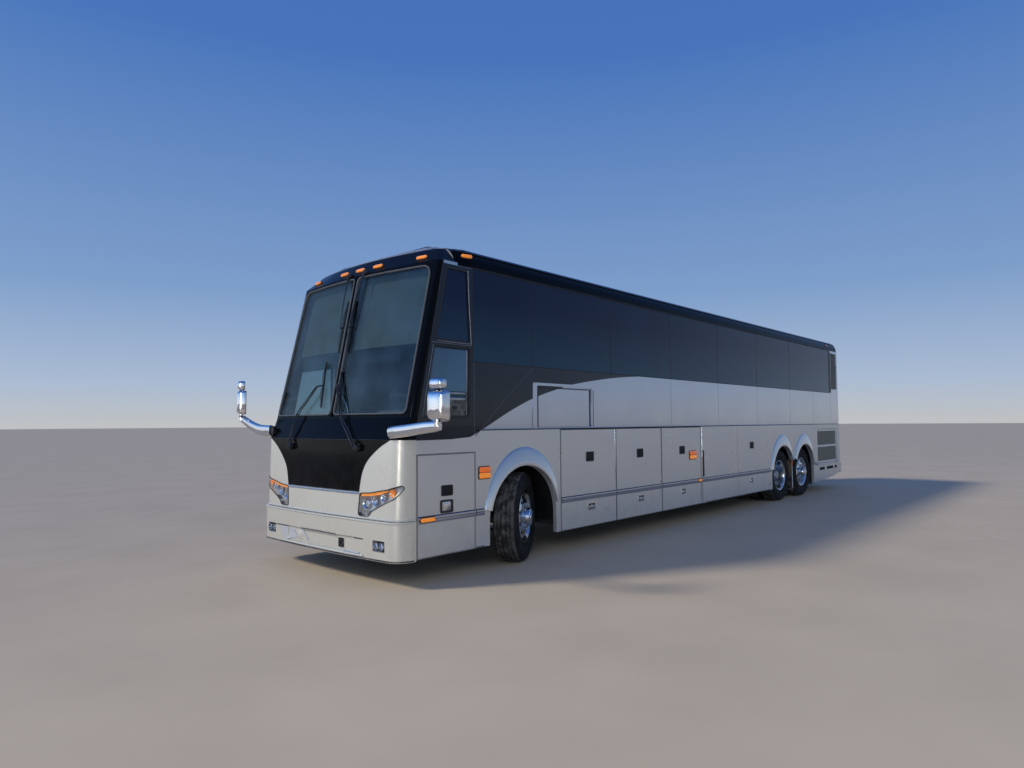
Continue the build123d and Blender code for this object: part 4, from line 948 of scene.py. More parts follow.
for sign, side in ((1, "left"), (-1, "right")):
    parts = [("front_corner", 0.712, 0.836, "body"), ("pillar", -4.560, -4.430, "body"), ("centre_a", -5.853, -4.570, "body"),
             ("centre_b", -7.362, -5.865, "body"), ("tail", -10.14, -9.955, "body")]
    parts += [(n, b + 0.007, f - 0.007, f"{side}_{n}_luggage_door") for n, f, b in
              (("front", -0.651, -1.892), ("middle", -1.892, -3.133), ("rear", -3.133, -4.420))]
    if sign > 0:
        parts.append(("service", 0.850, 1.655, "front_service_door"))
    for n, a, b, body in parts:
        strip_piece(f"{side}_strip_{n}", a, b, sign, body)

# ---- latches, squares with a fine grille, marker lamps
def gridded(g, x0, x1, z0, z1, y, s, mat=0, back=1):
    """A square pull recess: rounded black frame with a lattice inside, over a near-black back that is painted shade."""
    skin(g, rect(x0, x1, z0, z1, 0.016), [rect(x0 + 0.012, x1 - 0.012, z0 + 0.012, z1 - 0.012, 0.01)], flat_put("y", y, s), 0.007, mat, 0.5)
    prism(g, rect(x0 + 0.010, x1 - 0.010, z0 + 0.010, z1 - 0.010, 0.01), "y", y - s * 0.001, y + s * 0.002, back, 0.0005, both=False)
    n = 7
    for i in range(1, n):
        x = x0 + 0.012 + (x1 - x0 - 0.024) * i / n
        box(g, (x - 0.002, y, z0 + 0.012), (x + 0.002, y + s * 0.0055, z1 - 0.012), mat, 0.001)
    for i in range(1, 6):
        z = z0 + 0.012 + (z1 - z0 - 0.024) * i / 6
        box(g, (x0 + 0.012, y, z - 0.002), (x1 - 0.012, y + s * 0.0048, z + 0.002), mat, 0.001)


def paddle(g, x0, x1, z0, z1, y, s, m_ch=0, m_bk=1):
    """A paddle latch: bright bezel, a cup whose near-black is painted shade, and a hinged bright paddle with a key
    barrel.
    """
    skin(g, rect(x0, x1, z0, z1, 0.018), [rect(x0 + 0.013, x1 - 0.013, z0 + 0.013, z1 - 0.013, 0.01)], flat_put("y", y, s), 0.008, m_ch, 0.5)
    prism(g, rect(x0 + 0.011, x1 - 0.011, z0 + 0.011, z1 - 0.011, 0.01), "y", y - s * 0.001, y + s * 0.0015, m_bk, 0.0004, both=False)
    w, h = x1 - x0, z1 - z0
    put = lambda u, v, t: (u, y + s * (0.003 + t + 0.004 * (v - z0) / h), v)
    prism(g, rect(x0 + 0.020, x1 - 0.020, z0 + 0.018, z0 + h * 0.62, 0.008), put, 0.0, 0.006, m_ch, 0.002)
    lathe(g, [(0, 0.0085), (0.006, 0.0085), (0.0075, 0.007), (0.0075, 0.0)], ((x0 + x1) / 2, y + s * 0.001, z1 - 0.027), (0, s, 0), 20, m_ch)


def twin_marker(g, x0, x1, z0, z1, y, s, m_top=0, m_base=1, m_low=2):
    """A side marker: black base, a wide reflector row above a ribbed lamp row."""
    prism(g, rect(x0, x1, z0, z1, 0.02), "y", y - s * 0.001, y + s * 0.010, m_base, 0.003, both=False)
    zm = (z0 + z1) / 2
    for lo, hi, m in ((zm + 0.002, z1 - 0.008, m_top), (z0 + 0.008, zm - 0.002, m_low)):
        prism(g, rect(x0 + 0.009, x1 - 0.009, lo, hi, 0.014), "y", y + s * 0.008, y + s * 0.024, m, 0.008, both=False)
        for k in range(1, 10):
            x = x0 + 0.012 + (x1 - x0 - 0.024) * k / 10
            box(g, (x - 0.0012, y + s * 0.022, lo + 0.010), (x + 0.0012, y + s * 0.0253, hi - 0.010), m, 0.0008)


def small_marker(g, x0, x1, z0, z1, y, s, m_lens=0, m_base=1):
    prism(g, rect(x0, x1, z0, z1, min(0.02, (z1 - z0) * 0.45)), "y", y - s * 0.001, y + s * 0.006, m_base, 0.002, both=False)
    prism(g, rect(x0 + 0.008, x1 - 0.008, z0 + 0.007, z1 - 0.007, min(0.018, (z1 - z0) * 0.4)), "y", y + s * 0.004, y + s * 0.020, m_lens, 0.007, both=False)
    n = int((x1 - x0) / 0.02)
    for k in range(1, n):
        x = x0 + (x1 - x0) * k / n
        box(g, (x - 0.0012, y + s * 0.018, z0 + 0.014), (x + 0.0012, y + s * 0.0213, z1 - 0.014), m_lens, 0.0008)


for sign, side in ((1, "left"), (-1, "right")):
    y = sign * WALL_Y
    for n, sq, la in (("front", (-1.360, -1.192), (-1.382, -1.211)), ("middle", (-2.600, -2.434), (-2.607, -2.446)),
                      ("rear", (-3.859, -3.694), (-3.863, -3.718))):
        body = f"{side}_{n}_luggage_door"
        g = Geo()
        gridded(g, sq[0], sq[1], 1.110, 1.238, y, sign)
        g.done(f"{side}_{n}_door_square", [M["plastic_black"], M["hole"]], body)
        g = Geo()
        paddle(g, la[0], la[1], 0.478, 0.578, y, sign)
        g.done(f"{side}_{n}_door_latch", [M["chrome"], M["hole"]], body)
        # shallow pressed border and weather seal of the flap
        g = Geo()
        f, b = {"front": (-0.651, -1.892), "middle": (-1.892, -3.133), "rear": (-3.133, -4.420)}[n]
        skin(g, rect(b + 0.0065, f - 0.0065, 0.2805, 1.5295), [rect(b + 0.0125, f - 0.0125, 0.2865, 1.5235, 0.004)],
             flat_put("y", y, sign), 0.0016, 0, 2.0)
        g.done(f"{side}_{n}_door_edge", [M["grey_trim"]], body)
    g = Geo()
    gridded(g, -6.564, -6.400, 1.110, 1.238, y, sign)
    # tall narrow louvre on the pillar
    prism(g, rect(-4.532, -4.468, 0.712, 1.142, 0.012, 3), "y", y - sign * 0.001, y + sign * 0.002, 1, 0.001, both=False)
    for i in range(17):
        z = 0.728 + 0.400 * i / 16
        prism(g, rect(-4.526, -4.474, z - 0.0055, z + 0.0055, 0.003, 2), "y", y, y + sign * 0.007, 0, 0.001, both=False)
    g.done(side + "_fixed_square", [M["plastic_black"], M["hole"]])
    g = Geo()
    paddle(g, -6.500, -6.368, 0.478, 0.578, y, sign)
    box(g, (-4.466, y - sign * 0.002, 0.30), (-4.452, y + sign * 0.004, 1.52), 0, 0.002)
    g.done(side + "_fixed_latch", [M["chrome"], M["hole"]])
    g = Geo()
    twin_marker(g, 0.615, 0.800, 1.008, 1.150, y, sign)
    g.done(side + "_front_side_marker", [M["orange"], M["plastic_black"], M["amber"]])
    g = Geo()
    twin_marker(g, -4.246, -4.010, 1.010, 1.155, y, sign)
    small_marker(g, -4.400, -4.280, 0.636, 0.690, y + sign * 0.011, sign, 2, 1)
    g.done(side + "_door_side_marker", [M["orange"], M["plastic_black"], M["amber"]], f"{side}_rear_luggage_door")
    # fixed lower panels: joint lines and skirt lip
    g = Geo()
    box(g, (-5.862, y - sign * 0.002, 0.285), (-5.856, y + sign * 0.001, 1.53), 0, 0.0005)
    box(g, (-7.30, y - sign * 0.002, 0.2805), (-4.57, y + sign * 0.0035, 0.2945), 0, 0.0015)
    box(g, (0.712, y - sign * 0.002, 0.2805), (0.838, y + sign * 0.0035, 0.2945), 0, 0.0015)
    g.done(side + "_lower_joints", [M["grey_trim"]])

# bright strip down the joint between the first two flaps, on the front flap's rear edge
g = Geo()
box(g, (-1.884, WALL_Y - 0.001, 0.95), (-1.868, WALL_Y + 0.005, 1.522), 0, 0.002)
g.done("left_front_door_strip", [M["chrome"]], "left_front_luggage_door")

# service door: square pull, framed socket, amber strip lamp, pressed border
g = Geo()
y = WALL_Y
skin(g, rect(0.8495, 1.6555, 0.2795, 1.3025), [rect(0.8565, 1.6485, 0.2865, 1.2955, 0.006)], flat_put("y", y), 0.0016, 2, 2.0)
gridded(g, 1.178, 1.338, 0.872, 0.984, y, 1)
g.done("service_door_square", [M["plastic_black"], M["hole"], M["grey_trim"]], "front_service_door")
g = Geo()
skin(g, rect(1.176, 1.352, 0.700, 0.834, 0.02), [rect(1.198, 1.330, 0.722, 0.812, 0.012)], flat_put("y", y), 0.009, 1, 0.5)
prism(g, rect(1.196, 1.332, 0.720, 0.814, 0.012), "y", y - 0.001, y + 0.003, 0, 0.0005, both=False)
prism(g, rect(1.212, 1.316, 0.738, 0.800, 0.018), "y", y + 0.002, y + 0.0075, 0, 0.003, both=False)
lathe(g, [(0, 0.011), (0.010, 0.011), (0.012, 0.009), (0.012, 0.0)], (1.232, y + 0.001, 0.769), (0, 1, 0), 20, 0)
g.done("service_door_socket", [M["chrome"], M["plastic_black"]], "front_service_door")
g = Geo()
small_marker(g, 1.435, 1.635, 0.630, 0.685, y + 0.013, 1)
g.done("service_door_marker", [M["amber"], M["plastic_black"]], "front_service_door")
g = Geo()
small_marker(g, 0.720, 0.830, 0.700, 0.745, -y, -1)
g.done("right_corner_marker", [M["amber"], M["plastic_black"]])


# ---------------------------------------------------------------- nose
nose_cast = caster("front_mask", "windshield_frame")
mask_cast = caster("front_mask")
bumper_cast = caster("front_bumper")


def wrap(cast, cx=1.0):
    """u is the angle about a vertical line behind the nose, v the height."""
    def put(u, z):
        c, s = math.cos(u), math.sin(u)
        return cast((cx + 3.0 * c, 3.0 * s, z), (-c, -s, 0))
    return put


def at(x, y, cx=1.0):
    return math.atan2(y, x - cx)


put_mask = wrap(mask_cast)
SIDE = math.atan2(1.2955, 0.672)

# upper black band of the mask, from the joint line to the screen sill, round both corners
g = Geo()
top = 1.676
skin(g, [(-SIDE, 1.4595), (SIDE, 1.4595), (SIDE - 0.012, top), (-SIDE + 0.012, top)], [], put_mask, 0.003, 0, 0.05)
# lower black panel: wide at the joint line, its ends cut in like a shield
left_edge = curve2([(at(1.863, 1.126), 1.4535), (at(1.876, 0.949), 1.364), (at(1.887, 0.799), 1.249), (at(1.893, 0.735), 1.160),
                    (at(1.898, 0.703), 1.073), (at(1.903, 0.678), 0.934)], 6)
right_edge = curve2([(at(1.903, -0.690), 0.934), (at(1.897, -0.728), 1.073), (at(1.893, -0.765), 1.150), (at(1.885, -0.840), 1.235),
                     (at(1.872, -0.985), 1.355), (at(1.859, -1.165), 1.4535)], 6)
skin(g, left_edge + right_edge, [], put_mask, 0.003, 0, 0.05)
g.done("nose_black_panel", [M["black"]])

# joint line and the ledge under the black panel
def wrap_line(put, us, z, off=0.0):
    return [Vector(p) + unit(n) * off for p, n in (put(u, z) for u in us)]


g = Geo()
us = np.linspace(-SIDE + 0.01, SIDE - 0.01, 60)
tube(g, wrap_line(put_mask, us, 1.4565, 0.0005), 0.0032, 6, 0)
us = np.linspace(at(1.903, -0.690), at(1.903, 0.678), 40)
tube(g, wrap_line(put_mask, us, 0.927, 0.001), 0.008, 8, 0)
g.done("nose_joint_lines", [M["rubber"]])
g = Geo()
tube(g, wrap_line(put_mask, us, 0.910, 0.0025), 0.0095, 8, 0)
us2 = np.linspace(-SIDE + 0.02, SIDE - 0.02, 70)
tube(g, wrap_line(put_mask, us2, 0.672, 0.001), 0.009, 8, 1)
tube(g, wrap_line(put_mask, us, 0.922, 0.004), 0.0045, 8, 1)
g.done("nose_ledges", [M["alloy"], M["bumper"]])

# five amber roof lamps in a black header, with sockets
head_cast = caster("windshield_frame", "roof")
g = Geo()
for y, w in ((0.0, 0.085), (0.320, 0.085), (-0.320, 0.085), (0.994, 0.080), (-0.994, 0.080)):
    p, n = head_cast((3.0, y, 3.386), (-1, 0, 0))
    n = unit(n)
    t = unit(Vector((0, 0, 1)).cross(n))
    b = n.cross(t)
    for o, lo, hi, m, r in ((rect(-w, w, -0.031, 0.031, 0.028, 5), -0.004, 0.009, 1, 0.004),
                            (rect(-w + 0.010, w - 0.010, -0.022, 0.022, 0.020, 5), 0.006, 0.027, 0, 0.010)):
        prism(g, o, lambda u, v, s, p=p, t=t, b=b, n=n: p + t * u + b * v + n * s, lo, hi, m, r, both=False)
    for k in range(-3, 4):
        q = p + t * (k * 0.018) + n * 0.0262
        tube(g, [q - b * 0.013, q + b * 0.013], 0.0016, 5, 0)
for sign in (1, -1):
    p, n = head_cast((0.935, sign * 3.0, 3.427), (0, -sign, 0))
    n = unit(n)
    t = unit(Vector((0, 0, 1)).cross(n))
    b = n.cross(t)
    for o, lo, hi, m, r in ((rect(-0.075, 0.075, -0.028, 0.028, 0.025, 5), -0.004, 0.010, 1, 0.004),
                            (rect(-0.066, 0.066, -0.020, 0.020, 0.018, 5), 0.007, 0.027, 0, 0.009)):
        prism(g, o, lambda u, v, s, p=p, t=t, b=b, n=n: p + t * u + b * v + n * s, lo, hi, m, r, both=False)
    p, n = head_cast((-11.0, sign * 3.0, 3.40), (0, -sign, 0))
    n = unit(n)
    t = unit(Vector((0, 0, 1)).cross(n))
    b = n.cross(t)
    for o, lo, hi, m, r in ((rect(-0.055, 0.055, -0.024, 0.024, 0.022, 5), -0.004, 0.010, 1, 0.004),
                            (rect(-0.047, 0.047, -0.017, 0.017, 0.015, 5), 0.007, 0.024, 2, 0.008)):
        prism(g, o, lambda u, v, s, p=p, t=t, b=b, n=n: p + t * u + b * v + n * s, lo, hi, m, r, both=False)
g.done("roof_marker_lamps", [M["amber"], M["plastic_black"], M["red"]])

# silver cap of the front of the roof, above the dark header
g = Geo()
def put_top(x, y):
    return head_cast((x, y, 4.2), (0, 0, -1))
rows = []
k = 14
for ang in np.linspace(-86, 86, 61):
    c, q = math.cos(math.radians(ang)), math.sin(math.radians(ang))
    p, n = head_cast((0.6 + 3.0 * c, 3.0 * q, 3.514), (-c, -q, 0))
    row = [(p, n)]
    for t in np.linspace(0.0, 1.0, k)[1:]:
        row.append(put_top(p.x + (0.602 - p.x) * t, p.y * (1 - 0.12 * t)))
    rows.append(row)
verts = [Vector(p) + unit(n) * 0.003 for row in rows for p, n in row] + [Vector(p) - unit(n) * 0.001 for row in rows for p, n in row]
faces, m0 = [], len(rows) * k
for i in range(len(rows) - 1):
    for j in range(k - 1):
        a = i * k + j
        faces.append((a, a + 1, a + k + 1, a + k))
        faces.append((a + m0, a + k + m0, a + k + 1 + m0, a + 1 + m0))
    for j in (0, k - 1):
        a = i * k + j
        faces.append((a, a + k, a + k + m0, a + m0))
for i in (0, len(rows) - 1):
    for j in range(k - 1):
        a = i * k + j
        faces.append((a, a + 1, a + 1 + m0, a + m0))
g.add(verts, faces, 0)
g.done("front_roof_cap", [M["roof"]])

# ---- screen gaskets: a bright beaded line round each pane and grey rubber behind it
PANE = [(0.034, 1.720), (0.034, 3.290), (1.105, 3.278), (1.165, 3.245), (1.190, 3.180), (1.212, 1.760), (1.190, 1.720)]
pane_cast = caster("windshield", "windshield_frame")


def put_pane(y, z):
    # cast towards a point well inside, turned outwards near the corner post
    a = min(1.0, abs(y) / 1.25) ** 2 * 0.75
    d = Vector((-math.cos(a), -math.copysign(math.sin(a), y), 0))
    f = (z - 1.680) / 1.650
    xm, xc = 1.790 - 0.337 * f, 1.742 - 0.390 * f
    p0 = Vector((xm - (xm - xc) * (y / 1.24) ** 2, y, z))
    return pane_cast(p0 - d * 0.5, d)


for sign, side in ((1, "left"), (-1, "right")):
    g = Geo()
    loop = []
    o = soften(PANE, 0.05, 4)
    pts = []
    for i in range(len(o)):
        a, b = Vector(o[i]), Vector(o[(i + 1) % len(o)])
        m = max(1, int((b - a).length / 0.045))
        pts += [a + (b - a) * (j / m) for j in range(m)]
    got = [put_pane(sign * p.x, p.y) for p in pts]
    line = [Vector(p) + unit(n) * 0.003 for p, n in got]
    line.append(line[0])
    tube(g, line, 0.0175, 8, 1, squeeze=0.55)
    line2 = [Vector(p) + unit(n) * 0.010 for p, n in got]
    line2.append(line2[0])
    # twisted bead: the radius swells and shrinks along the line
    fine = smooth_path(line2, 3)
    tube(g, fine, 0.0068, 6, 0, radii=[0.0068 + 0.0017 * math.sin(i * 2.1) for i in range(len(fine))])
    g.done(side + "_screen_gasket", [M["gasket"], M["grey_trim"]])

# centre post cover
g = Geo()
for off, r, m in ((0.006, 0.016, 0),):
    line = []
    for z in np.linspace(1.70, 3.31, 40):
        p, n = nose_cast((4.0, 0.0, z), (-1, 0, 0))
        line.append(Vector(p) + unit(n) * off)
    tube(g, line, r, 10, m, squeeze=1.0)
g.done("centre_post_cover", [M["black"]])

# ---- headlamps
LAMP = [(0.672, 0.690), (0.690, 0.915), (0.860, 0.925), (1.080, 0.965), (1.245, 1.012), (1.265, 0.985), (1.180, 0.890), (1.000, 0.800),
        (0.870, 0.735), (0.838, 0.690)]


def put_face(cast):
    def put(y, z):
        a = max(0.0, (abs(y) - 0.6) / 0.7) ** 1.5 * 0.95
        a = min(a, 1.05)
        d = Vector((-math.cos(a), -math.copysign(math.sin(a), y), 0))
        # aim so that the ray passes the surface near this y
        x0 = 1.9 if abs(y) < 0.95 else 1.9 - (abs(y) - 0.95) * 0.35
        return cast(Vector((x0, y, z)) - d * 0.8, d)
    return put


lamp_cast = caster("front_lamps", "front_mask")
put_lamp = put_face(lamp_cast)


def loop_on(put, outline, sign, off, step=0.02):
    pts = []
    for i in range(len(outline)):
        a, b = Vector(outline[i]), Vector(outline[(i + 1) % len(outline)])
        m = max(1, int((b - a).length / step))
        pts += [a + (b - a) * (j / m) for j in range(m)]
    got = [put(sign * p.x, p.y) for p in pts]
    line = [Vector(p) + unit(n) * off for p, n in got]
    return line + [line[0]], got


for sign, side in ((1, "left"), (-1, "right")):
    outline = soften(LAMP, 0.035, 4)
    flip = lambda y, z, s=sign: put_lamp(s * y, z)
    # bowl: bright floor set back from the lens, black rim
    g = Geo()
    vs, fs = region(outline, [], 0.03)
    verts = []
    for y, z in vs:
        p, n = flip(y, z)
        verts.append(Vector(p) - unit(n) * 0.044)
    g.add(verts, fs, 0)
    rim, got = loop_on(put_lamp, outline, sign, 0.002)
    tube(g, rim, 0.0050, 6, 1)
    inner = [Vector(p) - unit(n) * 0.046 for p, n in got]
    face = [Vector(p) - unit(n) * 0.001 for p, n in got]
    k = len(inner)
    g.add(face + inner, [(i, (i + 1) % k, (i + 1) % k + k, i + k) for i in range(k)], 1)

    # projectors and bowls
    def unit_lamp(y, z, r, kind):
        p, n = flip(y, z)
        p, n = Vector(p), Vector((1, 0, 0)) * 0.85 + unit(n) * 0.15
        c = p - unit(n) * 0.040
        if kind == "projector":
            lathe(g, [(0.0, r), (0.012, r), (0.016, r * 0.93), (0.010, r * 0.80), (0.004, r * 0.66), (0.004, r * 0.62)], c, n, 32, 2)
            lathe(g, [(0.004, r * 0.62), (0.014, r * 0.57), (0.022, r * 0.42), (0.027, r * 0.2), (0.028, 0.0)], c, n, 32, 3)
        else:
            lathe(g, [(0.016, r), (0.019, r * 0.98), (0.012, r * 0.80), (0.005, r * 0.50), (0.003, r * 0.24)], c, n, 32, 4 if kind == "amber" else 2)
            lathe(g, [(0.003, r * 0.24), (0.018, r * 0.20), (0.024, r * 0.10), (0.025, 0.0)], c, n, 20, 4 if kind == "amber" else 2)
            for i in range(10):
                a = 2 * math.pi * i / 10
                u, v, w = basis(n)
                q0 = c + w * 0.005 + (u * math.cos(a) + v * math.sin(a)) * r * 0.30
                q1 = c + w * 0.0165 + (u * math.cos(a) + v * math.sin(a)) * r * 0.93
                tube(g, [q0, q1], 0.0014, 5, 2)

    unit_lamp(0.765, 0.815, 0.058, "projector")
    unit_lamp(0.905, 0.845, 0.050, "bowl")
    unit_lamp(1.022, 0.890, 0.042, "bowl")
    unit_lamp(1.128, 0.933, 0.041, "amber")
    # amber strip reflector along the upper inner edge
    o = soften([(0.700, 0.884), (0.705, 0.912), (0.860, 0.920), (1.075, 0.958), (1.105, 0.955), (1.000, 0.915), (0.860, 0.893)], 0.006, 2)
    vs, fs = region(o, [], 0.03)
    top_v, low_v = [], []
    for y, z in vs:
        p, n = flip(y, z)
        top_v.append(Vector(p) - unit(n) * 0.006)
        low_v.append(Vector(p) - unit(n) * 0.030)
    cnt = {}
    for f in fs:
        for a, b in zip(f, f[1:] + f[:1]):
            cnt[(a, b)] = 1
    nn = len(vs)
    g.add(top_v + low_v, list(fs) + [tuple(i + nn for i in reversed(f)) for f in fs] + [(a, b, b + nn, a + nn) for a, b in cnt if (b, a) not in cnt], 4)
    # fine steps moulded across the bowl
    for i in range(9):
        y = 0.70 + 0.016 * i
        line = [Vector(flip(y, z)[0]) - unit(flip(y, z)[1]) * 0.040 for z in (0.700, 0.745)]
        tube(g, line, 0.0035, 5, 2)
    g.done(side + "_headlamp_inside", [M["white_frame"], M["rubber"], M["chrome"], M["clear_lens"], M["amber"]])
    g = Geo()
    o2 = inset(outline, 0.004)
    skin(g, o2, [], flip, 0.0015, 0, 0.03, back=0.002)
    g.done(side + "_headlamp_lens", [M["clear_lens"]])


def loft(g, rings, mat=0, cap=True):
    """Joins rings of equal count."""
    n = len(rings[0])
    verts = [p for r in rings for p in r]
    faces = []
    for j in range(len(rings) - 1):
        for i in range(n):
            a, b = j * n + i, j * n + (i + 1) % n
            faces.append((a, b, b + n, a + n))
    if cap:
        faces.append(tuple(range(n - 1, -1, -1)))
        faces.append(tuple(range((len(rings) - 1) * n, len(rings) * n)))
    g.add(verts, faces, mat)


# ---- fog lamps and bumper trim
g = Geo()
for s in (1, -1):
    fy, fz = s * 1.016, 0.412
    prism(g, rect(fy - 0.086, fy + 0.086, fz - 0.053, fz + 0.053, 0.012), "x", 1.862, 1.876, 1, 0.002, both=False)
    for k in (-1, 1):
        c = (1.876, fy + k * 0.042, fz)
        lathe(g, [(0.0, 0.037), (0.030, 0.037), (0.037, 0.0355), (0.038, 0.032), (0.033, 0.0305), (0.014, 0.020), (0.008, 0.0)], c, (1, 0, 0), 36, 0)
        lathe(g, [(0.008, 0.009), (0.020, 0.008), (0.023, 0.004), (0.0235, 0.0)], c, (1, 0, 0), 16, 2)
        lathe(g, [(0.032, 0.031), (0.0365, 0.022), (0.0385, 0.010), (0.039, 0.0)], c, (1, 0, 0), 30, 3)
    # bright lower lip of the recess
    box(g, (1.868, fy - 0.088, fz - 0.0545), (1.908, fy + 0.088, fz - 0.047), 4, 0.003)
g.done("fog_lamps", [M["chrome"], M["plastic_black"], M["reflector"], M["clear_lens"], M["alloy_dull"]],
       replaces=["front_lamps"])

put_bump = wrap(bumper_cast, 1.2)
BS = math.atan2(1.30, 0.50)
g = Geo()
us = np.linspace(-BS, BS, 80)
tube(g, wrap_line(put_bump, us, 0.646, 0.000), 0.0085, 8, 0)
tube(g, wrap_line(put_bump, us, 0.276, 0.000), 0.0075, 8, 1)
g.done("bumper_edges", [M["bumper"], M["rubber"]])

g = Geo()
# shadow joint between bumper and mask
us = np.linspace(-BS, BS, 80)
tube(g, wrap_line(put_bump, us, 0.6595, -0.004), 0.006, 6, 0)
g.done("bumper_joint", [M["hole"]])


def put_bf(y, z):
    return bumper_cast((2.6, y, z), (-1, 0, 0))


g = Geo()
# a dark rubber line along the crease over the lower recess is its painted shade; under it the lip in bumper paint, and
# over the lip's left-side end a short pale bar that is a painted highlight
tube(g, [Vector(p) + unit(n) * 0.0050 for p, n in (put_bf(y, 0.474 - 0.012 * abs(y)) for y in np.linspace(-0.90, 0.78, 84))], 0.0048, 8, 2)
tube(g, [Vector(p) + unit(n) * 0.003 for p, n in (put_bf(y, 0.297) for y in np.linspace(-0.70, 0.78, 40))], 0.012, 8, 0)
tube(g, [Vector(p) + unit(n) * 0.006 for p, n in (put_bf(y, 0.318) for y in np.linspace(0.45, 0.72, 14))], 0.008, 8, 3)
# bright raised pads left and right of the middle, and a narrow rib
for s_ in (1, -1):
    if s_ < 0:
        o = soften([(-0.800, 0.452), (-0.520, 0.448), (-0.432, 0.352), (-0.668, 0.318), (-0.735, 0.340)], 0.012, 2)
        skin(g, o, [], put_bf, 0.006, 3, 0.04)
    o = soften([(s_ * 0.352, 0.448), (s_ * 0.318, 0.448), (s_ * 0.216, 0.352), (s_ * 0.250, 0.350)], 0.006, 2)
    if s_ < 0:
        skin(g, o, [], put_bf, 0.010, 3, 0.03)
# square tow socket on the left: a near-black plate of painted shade with a raised rim and a bore; closed by a cap on
# the right
for s_, z0, z1 in ((1, 0.338, 0.440), (-1, 0.334, 0.436)):
    y0, y1 = (0.350, 0.456) if s_ > 0 else (-0.452, -0.348)
    x0 = max(put_bf(y, z)[0][0] for y in (y0, y1) for z in (z0, z1))
    prism(g, rect(y0, y1, z0, z1, 0.012), "x", x0 - 0.020, x0 + 0.0025, 4 if s_ > 0 else 0, 0.0015, both=False)
    if s_ > 0:
        ym, zm = (y0 + y1) / 2, (z0 + z1) / 2
        lathe(g, [(0.0, 0.034), (0.004, 0.034), (0.006, 0.031), (0.006, 0.0265), (0.001, 0.025)], (x0 + 0.0025, ym, zm), (1, 0, 0), 32, 2)
        rim = rect(y0, y1, z0, z1, 0.012)
        tube(g, [Vector((x0 + 0.001, y, z)) for y, z in rim + rim[:1]], 0.0035, 8, 0)
g.done("front_bumper_detail", [M["bumper"], M["alloy_dull"], M["rubber"], M["white_frame"], M["hole"]])

# recess walls and tubes round the fog lamps
g = Geo()
for s_ in (1, -1):
    fy, fz = s_ * 1.016, 0.412
    for k in (-1, 1):
        lathe(g, [(0.0, 0.0405), (0.046, 0.0405), (0.050, 0.0385), (0.050, 0.0365), (0.002, 0.0365)], (1.872, fy + k * 0.042, fz), (1, 0, 0), 32, 0)
g.done("fog_lamp_tubes", [M["alloy_dull"]])

# ---- mirrors
def head(g, y0, y1, z0, z1, xb, xf, r, mats=(0, 1, 2), drop=0.0):
    d = xf - xb
    rings = []
    for f, k in ((0.0, 0.006), (0.03, 0.0), (0.40, 0.0), (0.62, 0.04), (0.78, 0.10), (0.90, 0.22), (0.965, 0.38), (0.993, 0.62), (0.998, 0.8)):
        w, h = (y1 - y0) / 2, (z1 - z0 - drop * min(1.0, f * 2)) / 2
        cy, cz = (y0 + y1) / 2, z1 - h
        q = k * min(w, h) if k > 0.01 else k
        o = rect(cy - w + q, cy + w - q, cz - h + q, cz + h - q, max(0.004, r * (1 + 0.6 * k)), 5)
        rings.append([(xb + d * f, u, v) for u, v in o])
    loft(g, rings, mats[0])
    # glass in a black surround on the rear face
    prism(g, rect(y0 + 0.006, y1 - 0.006, z0 + 0.006, z1 - 0.006, r * 0.8, 5), "x", xb + 0.004, xb - 0.004, mats[2], 0.002, both=False)
    prism(g, rect(y0 + 0.016, y1 - 0.016, z0 + 0.016, z1 - 0.016, r * 0.6, 5), "x", xb, xb - 0.0055, mats[1], 0.001, both=False)


def turned(g, start, old, new, angle):
    """Turns what was added since start about an upright line, and moves that line."""
    c, q = math.cos(angle), math.sin(angle)
    for i in range(start, len(g.v)):
        p = g.v[i]
        dx, dy = p[0] - old[0], p[1] - old[1]
        g.v[i] = Vector((new[0] + c * dx - q * dy, new[1] + q * dx + c * dy, p[2]))


